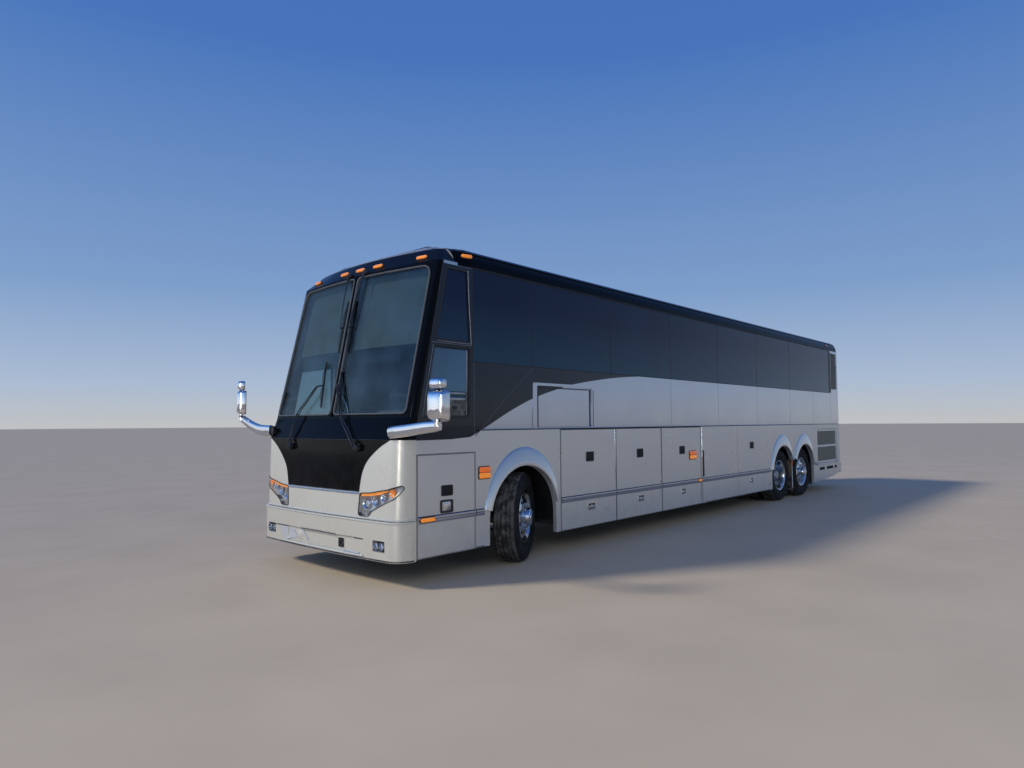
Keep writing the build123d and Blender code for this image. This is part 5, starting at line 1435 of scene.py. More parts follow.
for s, side, main, small, turn, arm in (
        (1, "left", (1.775, 1.984, 1.633, 1.921), (1.802, 1.957, 1.931, 2.035), 10.0,
         [(1.135, 1.528, 0.050), (1.145, 1.530, 0.060), (1.25, 1.540, 0.062), (1.40, 1.553, 0.060), (1.55, 1.570, 0.058), (1.68, 1.583, 0.056), (1.78, 1.590, 0.053),
          (1.845, 1.594, 0.048), (1.868, 1.594, 0.038)]),
        (-1, "right", (1.775, 1.984, 1.749, 2.051), (1.802, 1.957, 2.063, 2.172), 28.0,
         [(1.150, 1.542, 0.056), (1.160, 1.542, 0.066), (1.28, 1.540, 0.070), (1.42, 1.550, 0.066), (1.58, 1.588, 0.058), (1.70, 1.628, 0.052), (1.80, 1.665, 0.048),
          (1.870, 1.692, 0.044), (1.900, 1.702, 0.034)])):
    ct, st = math.cos(math.radians(turn)), math.sin(math.radians(turn))
    hx = 1.985 - (0.030 * ct + 0.075 * st + 0.030)
    hy = 1.985 - (0.075 * ct + 0.030 * st + 0.030)
    g = Geo()
    rings = []
    n = len(arm)
    for i, (y, z, h) in enumerate(arm):
        a = arm[max(i - 1, 0)]
        b = arm[min(i + 1, n - 1)]
        t = Vector((0, b[0] - a[0], b[1] - a[1])).normalized()
        up_v = Vector((0, -t.z, t.y))
        w = 0.034 if i < n - 1 else 0.022
        o = rect(-w, w, -h, h, min(w, h) * 0.85, 5)
        rings.append([Vector((1.870, y, z)) + Vector((u, 0, 0)) + up_v * v for u, v in o])
    rings = [[Vector((p[0], s * p[1], p[2])) for p in r] for r in rings]
    loft(g, rings, 0)
    # dark foot on the mask
    prism(g, rect(s * 1.16 - 0.045, s * 1.16 + 0.045, 1.487, 1.597, 0.03, 4), "x", 1.820, 1.868, 2, 0.004)
    # neck: two rings and a rubber boot between arm and heads
    ztop = small[2] + 0.01
    zlow = main[2] - (0.030 if s > 0 else 0.060)
    tube(g, [(hx, s * hy, zlow), (hx, s * hy, ztop)], 0.0135, 16, 0)
    for z, r, h, m in ((zlow + 0.006, 0.032, 0.026, 0), ((zlow + main[2]) / 2 + 0.006, 0.023, 0.016, 3), (main[2] - 0.006, 0.024, 0.014, 0), (main[3] + 0.005, 0.026, 0.012, 3)):
        lathe(g, [(-h / 2, 0.0), (-h / 2, r * 0.85), (-h / 2 + 0.003, r), (h / 2 - 0.003, r), (h / 2, r * 0.85), (h / 2, 0.0)], (hx, s * hy, z), (0, 0, 1), 24, m)
    lathe(g, [(-0.022, 0.0), (-0.022, 0.028), (-0.016, 0.033), (0.010, 0.033), (0.018, 0.026), (0.018, 0.0)], (min(hx, 1.9), s * hy, zlow), (0, 0, 1), 24, 0)
    start = len(g.v)
    y0, y1 = sorted((s * main[0], s * main[1]))
    head(g, y0, y1, main[2], main[3], 1.870, 1.982, 0.034, (0, 1, 2), 0.02 if s > 0 else 0.0)
    y0, y1 = sorted((s * small[0], s * small[1]))
    head(g, y0, y1, small[2], small[3], 1.888, 1.972, 0.028, (0, 1, 2))
    # seam round each shell
    for (a0, a1, c0, c1), xx, rr in ((main, 1.886, 0.034), (small, 1.902, 0.028)):
        b0, b1 = sorted((s * a0, s * a1))
        ring = [(xx, u, v) for u, v in rect(b0 - 0.0003, b1 + 0.0003, c0 - 0.0003, c1 + 0.0003, rr, 6)]
        ring.append(ring[0])
        tube(g, ring, 0.0008, 5, 3, caps=False)
    turned(g, start, (1.926, s * 1.8795), (hx, s * hy), s * math.radians(turn))
    g.done(side + "_mirror", [M["chrome"], M["mirror"], M["plastic_black"], M["rubber"]], replaces=["mirrors"])


# ---- wipers
def on_screen(y, z, out=0.025):
    f = (z - 1.680) / 1.650
    xm = 1.790 + (1.453 - 1.790) * f
    xc = 1.742 + (1.352 - 1.742) * f
    return Vector((xm - (xm - xc) * (y / 1.24) ** 2 + out, y, z))


LOW_WIPERS = [((1.948, 0.660, 1.370), (0.255, 1.690), (0.062, 2.061), (0.174, 1.750), (0.048, 2.190)),
              ((1.948, -0.627, 1.366), (-0.654, 1.732), (-0.343, 2.048), (-0.233, 1.805), (-0.291, 2.314))]
TOP_WIPERS = [((0.150, 3.345), (0.075, 2.700), (0.080, 2.420), (0.060, 3.010)),
              ((-0.150, 3.345), (-0.080, 2.700), (-0.085, 2.420), (-0.070, 3.010))]


def pivot(g, base):
    lathe(g, [(0.0, 0.036), (0.030, 0.034), (0.040, 0.030), (0.046, 0.020), (0.046, 0.0)], base, (1, 0, 0), 24, 0)
    lathe(g, [(0.046, 0.013), (0.058, 0.013), (0.060, 0.009), (0.060, 0.0)], base, (1, 0, 0), 6, 1)


def blade(g, b0, b1, hook):
    def along(t, out):
        return on_screen(b0[0] + (b1[0] - b0[0]) * t, b0[1] + (b1[1] - b0[1]) * t, out)
    ts = np.linspace(0, 1, 16)
    tube(g, [along(t, 0.012) for t in ts], 0.0058, 6, 2, squeeze=1.5)
    tube(g, [along(t, 0.024) for t in ts], 0.0065, 6, 0, squeeze=0.6)
    for t0, t1 in ((0.10, 0.5), (0.5, 0.90)):
        a, b = along(t0, 0.025), along(t1, 0.025)
        tube(g, smooth_path([a, (a + b) / 2 + Vector((0.016, 0, 0)), b], 6), 0.006, 6, 0, squeeze=0.7)
    tube(g, [along(0.5, 0.026), hook], 0.010, 8, 0)
    lathe(g, [(0, 0.0), (0, 0.012), (0.012, 0.012), (0.014, 0.0)], along(1.0, 0.018), (0, 0, 1), 10, 1)


g = Geo()
for pv, bend, el, b0, b1 in LOW_WIPERS:
    p, m, q = Vector(pv), on_screen(*bend, out=0.054), on_screen(*el, out=0.052)
    pivot(g, p - Vector((0.046, 0, 0)))
    line = smooth_path([p, p + (m - p) * 0.55, m, m + (q - m) * 0.5, q], 6)
    across = unit((q - p).cross(Vector((1, 0, 0))))
    n = len(line)
    for off in (-0.017, 0.017):
        tube(g, [c + across * off * (1.5 - 0.9 * i / n) for i, c in enumerate(line)], 0.0065, 8, 0)
    for t in (2, n // 2, n - 2):
        c = line[t]
        w = 0.030 - 0.012 * t / n
        tube(g, [c - across * w, c + across * w], 0.008, 8, 0)
    sp = [line[2] + (line[8] - line[2]) * t + Vector((0.016, 0, 0)) for t in np.linspace(0, 1, 60)]
    tube(g, sp, 0.006, 6, 1, radii=[0.006 + 0.0016 * math.sin(j * 1.8) for j in range(60)])
    hose = [c + Vector((0.012, 0, 0)) + across * 0.006 * math.sin(i * 0.8) for i, c in enumerate(line[1:-1])]
    tube(g, hose, 0.0035, 6, 2)
    blade(g, b0, b1, q)
for pv, el, b0, b1 in TOP_WIPERS:
    p, q = on_screen(*pv, out=0.030), on_screen(*el, out=0.052)
    pivot(g, p - Vector((0.046, 0, 0)))
    path = [p + (q - p) * t + Vector((0.012 * math.sin(math.pi * t), 0, 0)) for t in np.linspace(0, 1, 9)]
    tube(g, path, 0.010, 8, 0, radii=[0.015, 0.014, 0.012, 0.010, 0.009, 0.008, 0.008, 0.008, 0.008], squeeze=0.6)
    blade(g, b0, b1, q)
g.done("screen_wipers", [M["plastic_black"], M["steel"], M["rubber"]], replaces=["wipers"])

# ---- driver's side windows: frames, sliding pane, seals
g = Geo()
y = WALL_Y
for o, w, m in ((soften(DRIVER_PANE, 0.03), 0.014, 0), (soften(QUARTER_PANE, 0.03), 0.013, 0)):
    skin(g, grow(o, 0.012), [inset(o, w)], flat_put("y", y - 0.001), 0.0055, m, 0.5)
# deep reveal behind the frame
for o in (soften(DRIVER_PANE, 0.03), soften(QUARTER_PANE, 0.03)):
    i = inset(o, 0.013)
    k = len(i)
    g.add([(u, y + 0.002, v) for u, v in i] + [(u, y - 0.022, v) for u, v in i], [(a, (a + 1) % k, (a + 1) % k + k, a + k) for a in range(k)], 0)
tube(g, [(x, y + 0.005, z) for x, z in curve2([(0.952, 3.268), (0.935, 2.90), (0.908, 2.500), (0.925, 2.472), (1.15, 2.470), (1.40, 2.472)], 6)], 0.0042, 8, 1)
tube(g, [(x, y + 0.003, z) for x, z in ((1.590, 1.690), (1.552, 1.90), (1.448, 2.43))], 0.0032, 6, 1)
# bars of the opening pane
ylow = 1.2705
for o in ([(0.945, 1.864), (1.552, 1.864), (1.548, 1.888), (0.944, 1.888)], [(0.945, 1.925), (1.535, 1.925), (1.532, 1.945), (0.944, 1.945)],
          [(0.938, 1.69), (0.960, 1.69), (0.953, 2.42), (0.931, 2.42)]):
    prism(g, o, "y", ylow - 0.004, ylow + 0.008, 1, 0.002)
prism(g, rect(1.225, 1.245, 1.70, 1.866, 0.004, 2), "y", ylow - 0.004, ylow + 0.006, 1, 0.002)
box(g, (1.10, ylow, 1.770), (1.16, ylow + 0.012, 1.800), 2, 0.004)
g.done("driver_window_frames", [M["rubber"], M["alloy_dull"], M["plastic_black"]])

# outer glass of the driver's window: the upper pane and the small sliding pane
g = Geo()
full = inset(soften(DRIVER_PANE, 0.03), 0.015)
skin(g, [(0.953, 1.955), (1.532, 1.955), (1.443, 2.405), (0.934, 2.405)], [], flat_put("y", 1.2735), 0.0012, 0, 0.3)
skin(g, [(0.962, 1.700), (1.568, 1.700), (1.552, 1.862), (0.955, 1.862)], [], flat_put("y", 1.2735), 0.0012, 1, 0.3)
g.done("driver_panes_outer", [M["pane_blue"], M["pane_grey"]])

g = Geo()
for z in (2.452,):
    box(g, (0.890, WALL_Y + 0.001, z - 0.0035), (1.470, WALL_Y + 0.0045, z + 0.0035), 0, 0.001)
tube(g, [(x, WALL_Y + 0.0022, z) for x, z in curve2([(-0.150, 2.279), (0.05, 2.125), (0.384, 1.872), (0.614, 1.674), (0.84, 1.476)], 5)], 0.0028, 6, 0)
# hinge side seam of the driver panel
tube(g, [(0.858, WALL_Y + 0.0022, z) for z in np.linspace(1.50, 2.275, 6)], 0.0025, 6, 0)
g.done("left_black_seams", [M["grey_trim"]])
g = Geo()
o = soften(OVER_DOOR, 0.03)
skin(g, grow(o, 0.010), [inset(o, 0.012)], flat_put("y", -WALL_Y, -1), 0.005, 0, 0.5)
g.done("over_door_frame", [M["rubber"]])
g = Geo()
o = soften([(0.932, 0.760), (1.545, 0.760), (1.540, 1.600), (1.320, 2.685), (0.932, 2.685)], 0.04)
skin(g, grow(o, 0.002), [inset(o, 0.022)], flat_put("y", -WALL_Y, -1), 0.006, 0, 0.6)
prism(g, rect(0.935, 1.535, 1.585, 1.612, 0.003, 2), "y", -1.270, -1.287, 0, 0.002)
g.done("entrance_door_seal", [M["rubber"]], "entrance_door")
g = Geo()
paddle(g, 0.872, 0.926, 1.18, 1.30, -1.2985, -1)
g.done("entrance_door_latch", [M["chrome"], M["hole"]], "entrance_door")

# aerial: a stiff rod on a ball foot
g = Geo()
p, n = caster("roof")((0.62, 0.55, 4.2), (0, 0, -1))
lathe(g, [(0, 0.030), (0.006, 0.030), (0.014, 0.022), (0.026, 0.014), (0.034, 0.006), (0.034, 0.0)], p, (0, 0, 1), 24, 0)
tip = Vector(p) + Vector((-0.05, 0.0, 0.060))
tube(g, [Vector(p) + Vector((0, 0, 0.03)), tip], 0.0028, 8, 1)
g.done("roof_aerial", [M["rubber"], M["steel"]])


# ---------------------------------------------------------------- wheels
def tyre(g, centre, axis, n=108, m_tread=0, m_side=1):
    """Road tyre with four zigzag grooves, shoulder sipes and a ribbed sidewall."""
    u, v, w = basis(axis)
    c = Vector(centre)
    half = [(0.100, 0.286), (0.108, 0.291), (0.114, 0.302), (0.118, 0.313), (0.1205, 0.318), (0.1205, 0.325), (0.1245, 0.331), (0.130, 0.350),
            (0.1345, 0.368), (0.1385, 0.386), (0.1385, 0.392), (0.1415, 0.397), (0.1420, 0.420), (0.1415, 0.440), (0.1385, 0.445), (0.1385, 0.450),
            (0.1400, 0.455), (0.1370, 0.472), (0.1310, 0.488), (0.1290, 0.4895), (0.1290, 0.4935), (0.1255, 0.497), (0.117, 0.505), (0.108, 0.5105), (0.098, 0.5135)]
    tread = []
    for gc in (0.074, 0.026):
        tread += [(gc + 0.0085, 0.5165 if gc > 0.05 else 0.5188, 1), (gc + 0.0065, 0.5155, 1), (gc + 0.0045, 0.5035, 1), (gc - 0.0045, 0.5035, 1), (gc - 0.0065, 0.5165, 1),
                  (gc - 0.0085, 0.5178 if gc > 0.05 else 0.5196, 1)]
        if gc > 0.05:
            tread += [(0.050, 0.5184, 0)]
    tread += [(0.0, 0.5197, 0)]
    prof = [(a, r, 0) for a, r in half] + tread
    prof = prof + [(-a, r, z) for a, r, z in reversed(prof[:-1])]
    k = len(prof)
    verts, faces, mats = [], [], []
    for i in range(n):
        ang = 2 * math.pi * i / n
        zig = 0.0032 * (1 if i % 2 else -1)
        for j, (a, r, z) in enumerate(prof):
            rr = r
            if abs(a) > 0.100 and abs(a) < 0.127 and r > 0.495 and i % 3 == 0:
                rr = r - 0.0045
            aa = a + (zig if z else 0.0)
            verts.append(c + w * aa + (u * math.cos(ang) + v * math.sin(ang)) * rr)
    lo, hi = len(half) - 3, k - len(half) + 2
    for i in range(n):
        b = ((i + 1) % n) * k
        a = i * k
        for j in range(k - 1):
            faces.append((a + j, b + j, b + j + 1, a + j + 1))
            mats.append(m_tread if lo <= j < hi else m_side)
        faces.append((a + k - 1, b + k - 1, b, a))
        mats.append(m_side)
    start = len(g.v)
    g.add(verts, [], 0)
    g.f.extend(tuple(q + start for q in f) for f in faces)
    g.m.extend(mats)


def disc(g, centre, axis, surf, r_in, r_out, holes, mat=0, thick=0.008, step=0.03):
    """A dished disc with holes. surf(r) gives how far along the axis its face lies."""
    u, v, w = basis(axis)
    c = Vector(centre)

    def put(a, b):
        r = math.hypot(a, b)
        slope = (surf(r + 0.002) - surf(r - 0.002)) / 0.004
        radial = (u * a + v * b) / max(r, 1e-6)
        return c + w * surf(r) + u * a + v * b, w - radial * slope
    outer = circle(0, 0, r_out, 60)
    inner = [circle(0, 0, r_in, 40)] if r_in > 0 else []
    skin(g, outer, inner + holes, put, 0.0, mat, step, back=thick)


def hand_holes(n, r, a, b, turn=0.0):
    out = []
    for i in range(n):
        t = turn + 2 * math.pi * i / n
        out.append([(r * math.cos(t) + a * math.cos(q) * -math.sin(t) + b * math.sin(q) * math.cos(t),
                     r * math.sin(t) + a * math.cos(q) * math.cos(t) + b * math.sin(q) * math.sin(t))
                    for q in [2 * math.pi * j / 16 for j in range(16)]])
    return out


def around(axis, centre, r, n, turn=0.0):
    u, v, w = basis(axis)
    c = Vector(centre)
    for i in range(n):
        a = turn + 2 * math.pi * i / n
        yield c + (u * math.cos(a) + v * math.sin(a)) * r, a


def nuts(g, centre, axis, at, r=0.1425, n=10, size=0.0175, tall=0.040, mat=0):
    w = unit(axis)
    for p, a in around(axis, Vector(centre) + w * at, r, n, 0.0):
        lathe(g, [(0.0, size * 1.22), (0.005, size * 1.18), (0.006, size)], p, w, 18, mat)
        lathe(g, [(0.005, size), (tall * 0.74, size * 0.97), (tall * 0.80, size * 0.84)], p, w, 6, mat)
        lathe(g, [(tall * 0.78, size * 0.82), (tall * 0.93, size * 0.68), (tall, size * 0.40), (tall, 0.0)], p, w, 14, mat)


def wheel_single(g, centre, axis):
    """Polished disc wheel near the outer face, ten hand holes, nuts and a stepped hub."""
    w = unit(axis)
    c = Vector(centre)
    lathe(g, [(0.100, 0.2875), (0.112, 0.291), (0.117, 0.300), (0.1235, 0.3005), (0.1245, 0.297), (0.122, 0.286), (0.113, 0.277), (0.104, 0.269),
              (0.092, 0.2635), (-0.085, 0.2600), (-0.110, 0.270), (-0.122, 0.282), (-0.1235, 0.300), (-0.117, 0.300), (-0.104, 0.2875)], c, w, 64, 0)
    surf = lambda r: 0.088 + 0.030 * (1 - min(1.0, max(0.0, (r - 0.165) / 0.098)) ** 2.0) + (0.004 if r < 0.165 else 0)
    disc(g, c, w, surf, 0.080, 0.2625, hand_holes(10, 0.2085, 0.0235, 0.0165, math.radians(18)), 0, 0.010, 0.022)
    # dark drum behind the hand holes
    lathe(g, [(0.060, 0.0), (0.060, 0.225), (0.050, 0.232), (-0.060, 0.236), (-0.060, 0.0)], c, w, 40, 2)
    nuts(g, c, w, 0.121)
    lathe(g, [(0.116, 0.116), (0.124, 0.118), (0.132, 0.112), (0.140, 0.106), (0.176, 0.102), (0.190, 0.098), (0.196, 0.088), (0.200, 0.074),
              (0.2105, 0.070), (0.2145, 0.064), (0.2145, 0.0)], c, w, 48, 0)
    for p, a in around(w, c + w * 0.192, 0.086, 8):
        lathe(g, [(0, 0.0075), (0.008, 0.0075), (0.010, 0.005), (0.010, 0.0)], p, w, 6, 0)
    # valve stem
    u, v, _ = basis(w)
    tube(g, [c + w * 0.108 + u * 0.238, c + w * 0.126 + u * 0.246], 0.0045, 8, 2)


def wheel_deep(g, centre, axis):
    """Outer wheel of a pair: deep bright dish, disc at its back, long hub."""
    w = unit(axis)
    c = Vector(centre)
    lathe(g, [(0.100, 0.2875), (0.112, 0.291), (0.117, 0.300), (0.1235, 0.3005), (0.1245, 0.297), (0.122, 0.286), (0.113, 0.277), (0.100, 0.270),
              (0.060, 0.2665), (0.020, 0.2640), (-0.040, 0.2600), (-0.066, 0.2550), (-0.082, 0.2450)], c, w, 64, 0)
    lathe(g, [(-0.100, 0.262), (-0.117, 0.272), (-0.1235, 0.300), (-0.117, 0.300), (-0.104, 0.2875)], c, w, 64, 0)
    surf = lambda r: -0.082 - 0.010 * (1 - min(1.0, max(0.0, (r - 0.165) / 0.08)) ** 2.0)
    disc(g, c, w, surf, 0.100, 0.2455, hand_holes(10, 0.2050, 0.0235, 0.0165, math.radians(18)), 1, 0.010, 0.022)
    lathe(g, [(-0.104, 0.0), (-0.104, 0.235), (-0.109, 0.240), (-0.109, 0.0)], c, w, 40, 2)
    nuts(g, c, w, -0.091, mat=0)
    lathe(g, [(-0.092, 0.116), (-0.080, 0.116), (-0.066, 0.112), (-0.052, 0.106), (0.030, 0.098), (0.052, 0.095), (0.062, 0.088), (0.070, 0.074), (0.0745, 0.068), (0.0745, 0.0)], c, w, 48, 1)
    for p, a in around(w, c + w * 0.056, 0.082, 8):
        lathe(g, [(0, 0.009), (0.010, 0.009), (0.013, 0.006), (0.013, 0.0)], p, w, 6, 0)
    u, v, _ = basis(w)
    tube(g, [c + w * -0.080 + u * 0.236, c + w * 0.02 + u * 0.242, c + w * 0.085 + u * 0.250], 0.0045, 8, 2)


def wheel_inner(g, centre, axis):
    w = unit(axis)
    c = Vector(centre)
    lathe(g, [(0.104, 0.2875), (0.117, 0.300), (0.1235, 0.300), (0.122, 0.284), (0.108, 0.266), (0.092, 0.2635), (0.090, 0.15), (0.100, 0.118), (0.180, 0.096), (0.184, 0.06),
              (0.040, 0.06), (0.035, 0.238), (-0.06, 0.242), (-0.06, 0.2600), (-0.110, 0.270), (-0.122, 0.284), (-0.1235, 0.300), (-0.117, 0.300), (-0.104, 0.2875)], c, w, 56, 1)


def centre_of(node):
    lo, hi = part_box(node)
    return Vector(((lo.x + hi.x) / 2 - SHIFT, (lo.y + hi.y) / 2, (lo.z + hi.z) / 2))


A27 = math.radians(27)
for side, s in (("left", 1), ("right", -1)):
    w = Vector((-math.sin(A27) * s, math.cos(A27) * s, 0))
    c = centre_of(f"front_{side}_tyre")
    g = Geo()
    tyre(g, c, w)
    g.done(f"front_{side}_tyre_shape", [M["tread"], M["tyre"]], f"front_{side}_wheel", [f"front_{side}_tyre"], sharp=28)
    g = Geo()
    wheel_single(g, c, w)
    g.done(f"front_{side}_rim_shape", [M["alloy"], M["alloy_dull"], M["steel"]], f"front_{side}_wheel", [f"front_{side}_rim"], sharp=28)
    w = Vector((0, s, 0))
    g = Geo()
    tyre(g, (-9.280, s * 1.095, 0.520), w)
    g.done(f"tag_{side}_tyre_shape", [M["tread"], M["tyre"]], f"tag_{side}_wheel", [f"tag_{side}_tyre"], sharp=28)
    g = Geo()
    wheel_single(g, (-9.280, s * 1.095, 0.520), w)
    g.done(f"tag_{side}_rim_shape", [M["alloy"], M["alloy_dull"], M["steel"]], f"tag_{side}_wheel", [f"tag_{side}_rim"], sharp=28)
    g = Geo()
    tyre(g, (-8.030, s * 1.095, 0.520), w)
    tyre(g, (-8.030, s * 0.755, 0.520), w)
    g.done(f"drive_{side}_tyres_shape", [M["tread"], M["tyre"]], f"drive_{side}_wheels", [f"drive_{side}_tyres"], sharp=28)
    g = Geo()
    wheel_deep(g, (-8.030, s * 1.095, 0.520), w)
    wheel_inner(g, (-8.030, s * 0.755, 0.520), w)
    g.done(f"drive_{side}_rims_shape", [M["alloy"], M["alloy_dull"], M["steel"]], f"drive_{side}_wheels", [f"drive_{side}_rims"], sharp=28)

# mud flaps: one between the rear wheels and one behind the tag axle
for side, s in (("left", 1), ("right", -1)):
    g = Geo()
    for x, z0, z1, y0, y1, m in ((-8.660, 0.165, 0.800, 0.96, 1.245, 0), (-9.905, 0.20, 0.66, 0.96, 1.235, 1)):
        rows, k = [], 9
        for i in range(13):
            z = z0 + (z1 - z0) * i / 12
            rows.append([(x + 0.004 * math.sin(9 * z + j * 0.7), s * (y0 + (y1 - y0) * j / (k - 1)), z) for j in range(k)])
        top = [p for r in rows for p in r]
        n0 = len(top)
        back = [(p[0] - 0.012, p[1], p[2]) for p in top]
        faces = []
        for i in range(12):
            for j in range(k - 1):
                a = i * k + j
                faces.append((a, a + 1, a + k + 1, a + k))
                faces.append((a + n0, a + k + n0, a + k + 1 + n0, a + 1 + n0))
        ring = list(range(k)) + [i * k + k - 1 for i in range(1, 13)] + [12 * k + j for j in range(k - 2, -1, -1)] + [i * k for i in range(11, 0, -1)]
        for a, b in zip(ring, ring[1:] + ring[:1]):
            faces.append((a, b, b + n0, a + n0))
        g.add(top + back, faces, m)
        for j in range(4):
            y = s * (y0 + 0.03 + (y1 - y0 - 0.06) * j / 3)
            lathe(g, [(0, 0.010), (0.004, 0.010), (0.006, 0.006), (0.006, 0.0)], (x + 0.004, y, z1 - 0.04), (1, 0, 0), 6, 2)
        # reflector strip on the outer edge
        if m == 0:
            box(g, (x - 0.013, s * y1 - s * 0.004, z0 + 0.05), (x + 0.004, s * y1 + s * 0.004, z1 - 0.12), 3, 0.002)
            box(g, (x - 0.013, s * y1 - s * 0.004, z1 - 0.12), (x + 0.004, s * y1 + s * 0.004, z1 - 0.02), 4, 0.002)
    g.done(side + "_mud_flaps", [M["mud"], M["rubber"], M["steel"], M["white_mark"], M["orange"]])


# ---------------------------------------------------------------- cabin
def pad(g, c, ax, ay, az, h, r=0.03, crown=0.014, pull=0.008, lines=(), cross=(), depth=0.007, mat=0, n=(3, 4)):
    """Crowned closed cushion. ax, ay span it and az is its thickness; lines and cross are sewn channels
    at those places across ay and ax. Its sides pull in between the corners."""
    def stations(half, count, seams):
        s = [-half, -half + 0.3 * r, -half + r] + list(np.linspace(-half + r, half - r, count + 2)[1:-1]) + [half - r, half - 0.3 * r, half]
        for q in seams:
            s = [v for v in s if abs(v - q) > 0.011] + [q - 0.010, q, q + 0.010]
        return sorted(s)
    X, Y, Z = stations(h[0], n[0], cross), stations(h[1], n[1], lines), stations(h[2], 0, ())
    index, verts = {}, []

    def vertex(i, j, k):
        key = (i, j, k)
        if key not in index:
            p = Vector((X[i], Y[j], Z[k]))
            q = Vector([max(-h[a] + r, min(h[a] - r, p[a])) for a in range(3)])
            d = p - q
            if d.length > 1e-9:
                p = q + d.normalized() * min(r, d.length) if d.length > r else p
            u, v = p.x / h[0], p.y / h[1]
            face = max(0.0, min(1.0, (abs(p.z) - (h[2] - r)) / r))
            dip = sum(math.exp(-((p.y - q2) / 0.008) ** 2) for q2 in lines) + sum(math.exp(-((p.x - q2) / 0.008) ** 2) for q2 in cross)
            if p.z > 0:
                p.z += (crown * (1 - u * u) * (1 - v * v) - depth * min(1.0, dip)) * face
            p.x -= math.copysign(pull, p.x) * (1 - v * v) * abs(u) ** 5 * (1 - 0.6 * face)
            p.y -= math.copysign(pull, p.y) * (1 - u * u) * abs(v) ** 5 * (1 - 0.6 * face)
            index[key] = len(verts)
            verts.append(Vector(c) + ax * p.x + ay * p.y + az * p.z)
        return index[key]
    faces = []
    nx, ny, nz = len(X) - 1, len(Y) - 1, len(Z) - 1
    for i in range(nx):
        for j in range(ny):
            faces.append((vertex(i, j, nz), vertex(i + 1, j, nz), vertex(i + 1, j + 1, nz), vertex(i, j + 1, nz)))
            faces.append((vertex(i, j, 0), vertex(i, j + 1, 0), vertex(i + 1, j + 1, 0), vertex(i + 1, j, 0)))
    for k in range(nz):
        for i in range(nx):
            faces.append((vertex(i, 0, k), vertex(i + 1, 0, k), vertex(i + 1, 0, k + 1), vertex(i, 0, k + 1)))
            faces.append((vertex(i, ny, k), vertex(i, ny, k + 1), vertex(i + 1, ny, k + 1), vertex(i + 1, ny, k)))
        for j in range(ny):
            faces.append((vertex(0, j, k), vertex(0, j, k + 1), vertex(0, j + 1, k + 1), vertex(0, j + 1, k)))
            faces.append((vertex(nx, j, k), vertex(nx, j + 1, k), vertex(nx, j + 1, k + 1), vertex(nx, j, k + 1)))
    g.add(verts, faces, mat)


def piping(g, c, ax, ay, az, h, r, level, mat, inset_by=0.004):
    """Round welt along the edge seam of a pad."""
    o = rect(-h[0] + inset_by, h[0] - inset_by, -h[1] + inset_by, h[1] - inset_by, r, 3)
    ring = [Vector(c) + ax * u + ay * v + az * level for u, v in o]
    tube(g, ring + [ring[0]], 0.0042, 5, mat, caps=False)


EX, EY, EZ = Vector((1, 0, 0)), Vector((0, 1, 0)), Vector((0, 0, 1))
lean = Vector((-0.2198, 0, 0.9755))
front = Vector((0.9755, 0, 0.2198))
for side, s in (("left", 1), ("right", -1)):
    frame_g = Geo()
    for row in range(13):
        x = -0.230 - 0.830 * row
        g = Geo()
        for y in (0.5375, 0.9725):
            cy = s * y
            pad(g, (x - 0.245, cy, 1.955), EX, EY, EZ, (0.252, 0.212, 0.054), 0.034, 0.020, 0.010, (-0.125, 0.125), (0.09,), 0.008, 0, (2, 2))
            piping(g, (x - 0.245, cy, 1.955), EX, EY, EZ, (0.252, 0.212, 0.054), 0.034, 0.034, 1)
            b = Vector((x - 0.530, cy, 2.300))
            pad(g, b, lean, EY, front, (0.362, 0.206, 0.048), 0.032, 0.022, 0.010, (-0.120, 0.120), (-0.12, 0.08), 0.008, 0, (2, 2))
            piping(g, b, lean, EY, front, (0.362, 0.206, 0.048), 0.032, 0.030, 1)
            pad(g, b + lean * 0.252 + front * 0.050, lean, EY, front, (0.088, 0.165, 0.024), 0.022, 0.012, 0.006, (), (), 0.0, 2, (2, 3))
        obj = g.done(f"{side}_seat_row_{row + 1:02d}", [M["fabric"], M["leather"], M["leather"]], replaces=["passenger_seats"], sharp=60)
        f = frame_g
        for y in (0.53, 1.03):
            prism(f, [(x - 0.40, 1.542), (x - 0.14, 1.542), (x - 0.14, 1.556), (x - 0.24, 1.575), (x - 0.22, 1.872), (x - 0.10, 1.890), (x - 0.10, 1.899),
                      (x - 0.44, 1.899), (x - 0.44, 1.890), (x - 0.32, 1.872), (x - 0.30, 1.575), (x - 0.40, 1.556)], "y", s * y - 0.022, s * y + 0.022, 0, 0.003)
        for y in (0.330, 0.755, 1.178):
            top = smooth_path([(x - 0.500, s * y, 2.110), (x - 0.470, s * y, 2.165), (x - 0.33, s * y, 2.178), (x - 0.170, s * y, 2.170), (x - 0.145, s * y, 2.150)], 4)
            tube(f, top, 0.017, 8, 1, squeeze=0.75)
        b = Vector((x - 0.530, s * 0.755, 2.300))
        shell = soften([(-0.35, -0.42), (0.352, -0.40), (0.352, 0.40), (-0.35, 0.42)], 0.05, 4)
        prism(f, shell, lambda u, v, w, b=b: b + lean * u + EY * v + front * w, -0.057, -0.049, 2, 0.003)
        tube(f, smooth_path([b + lean * 0.30 - front * 0.056 + EY * -0.20, b + lean * 0.315 - front * 0.080 + EY * -0.16, b + lean * 0.315 - front * 0.080 + EY * 0.16,
                             b + lean * 0.30 - front * 0.056 + EY * 0.20], 4), 0.009, 7, 0)
        net = rect(-0.20, 0.02, -0.15, 0.15, 0.02, 3)
        tube(f, [b + lean * u - front * 0.060 + EY * v for u, v in net + net[:1]], 0.004, 5, 1, caps=False)
    frame_g.done(side + "_seat_frames", [M["steel"], M["plastic_black"], M["cabin"]], replaces=["passenger_seats"])

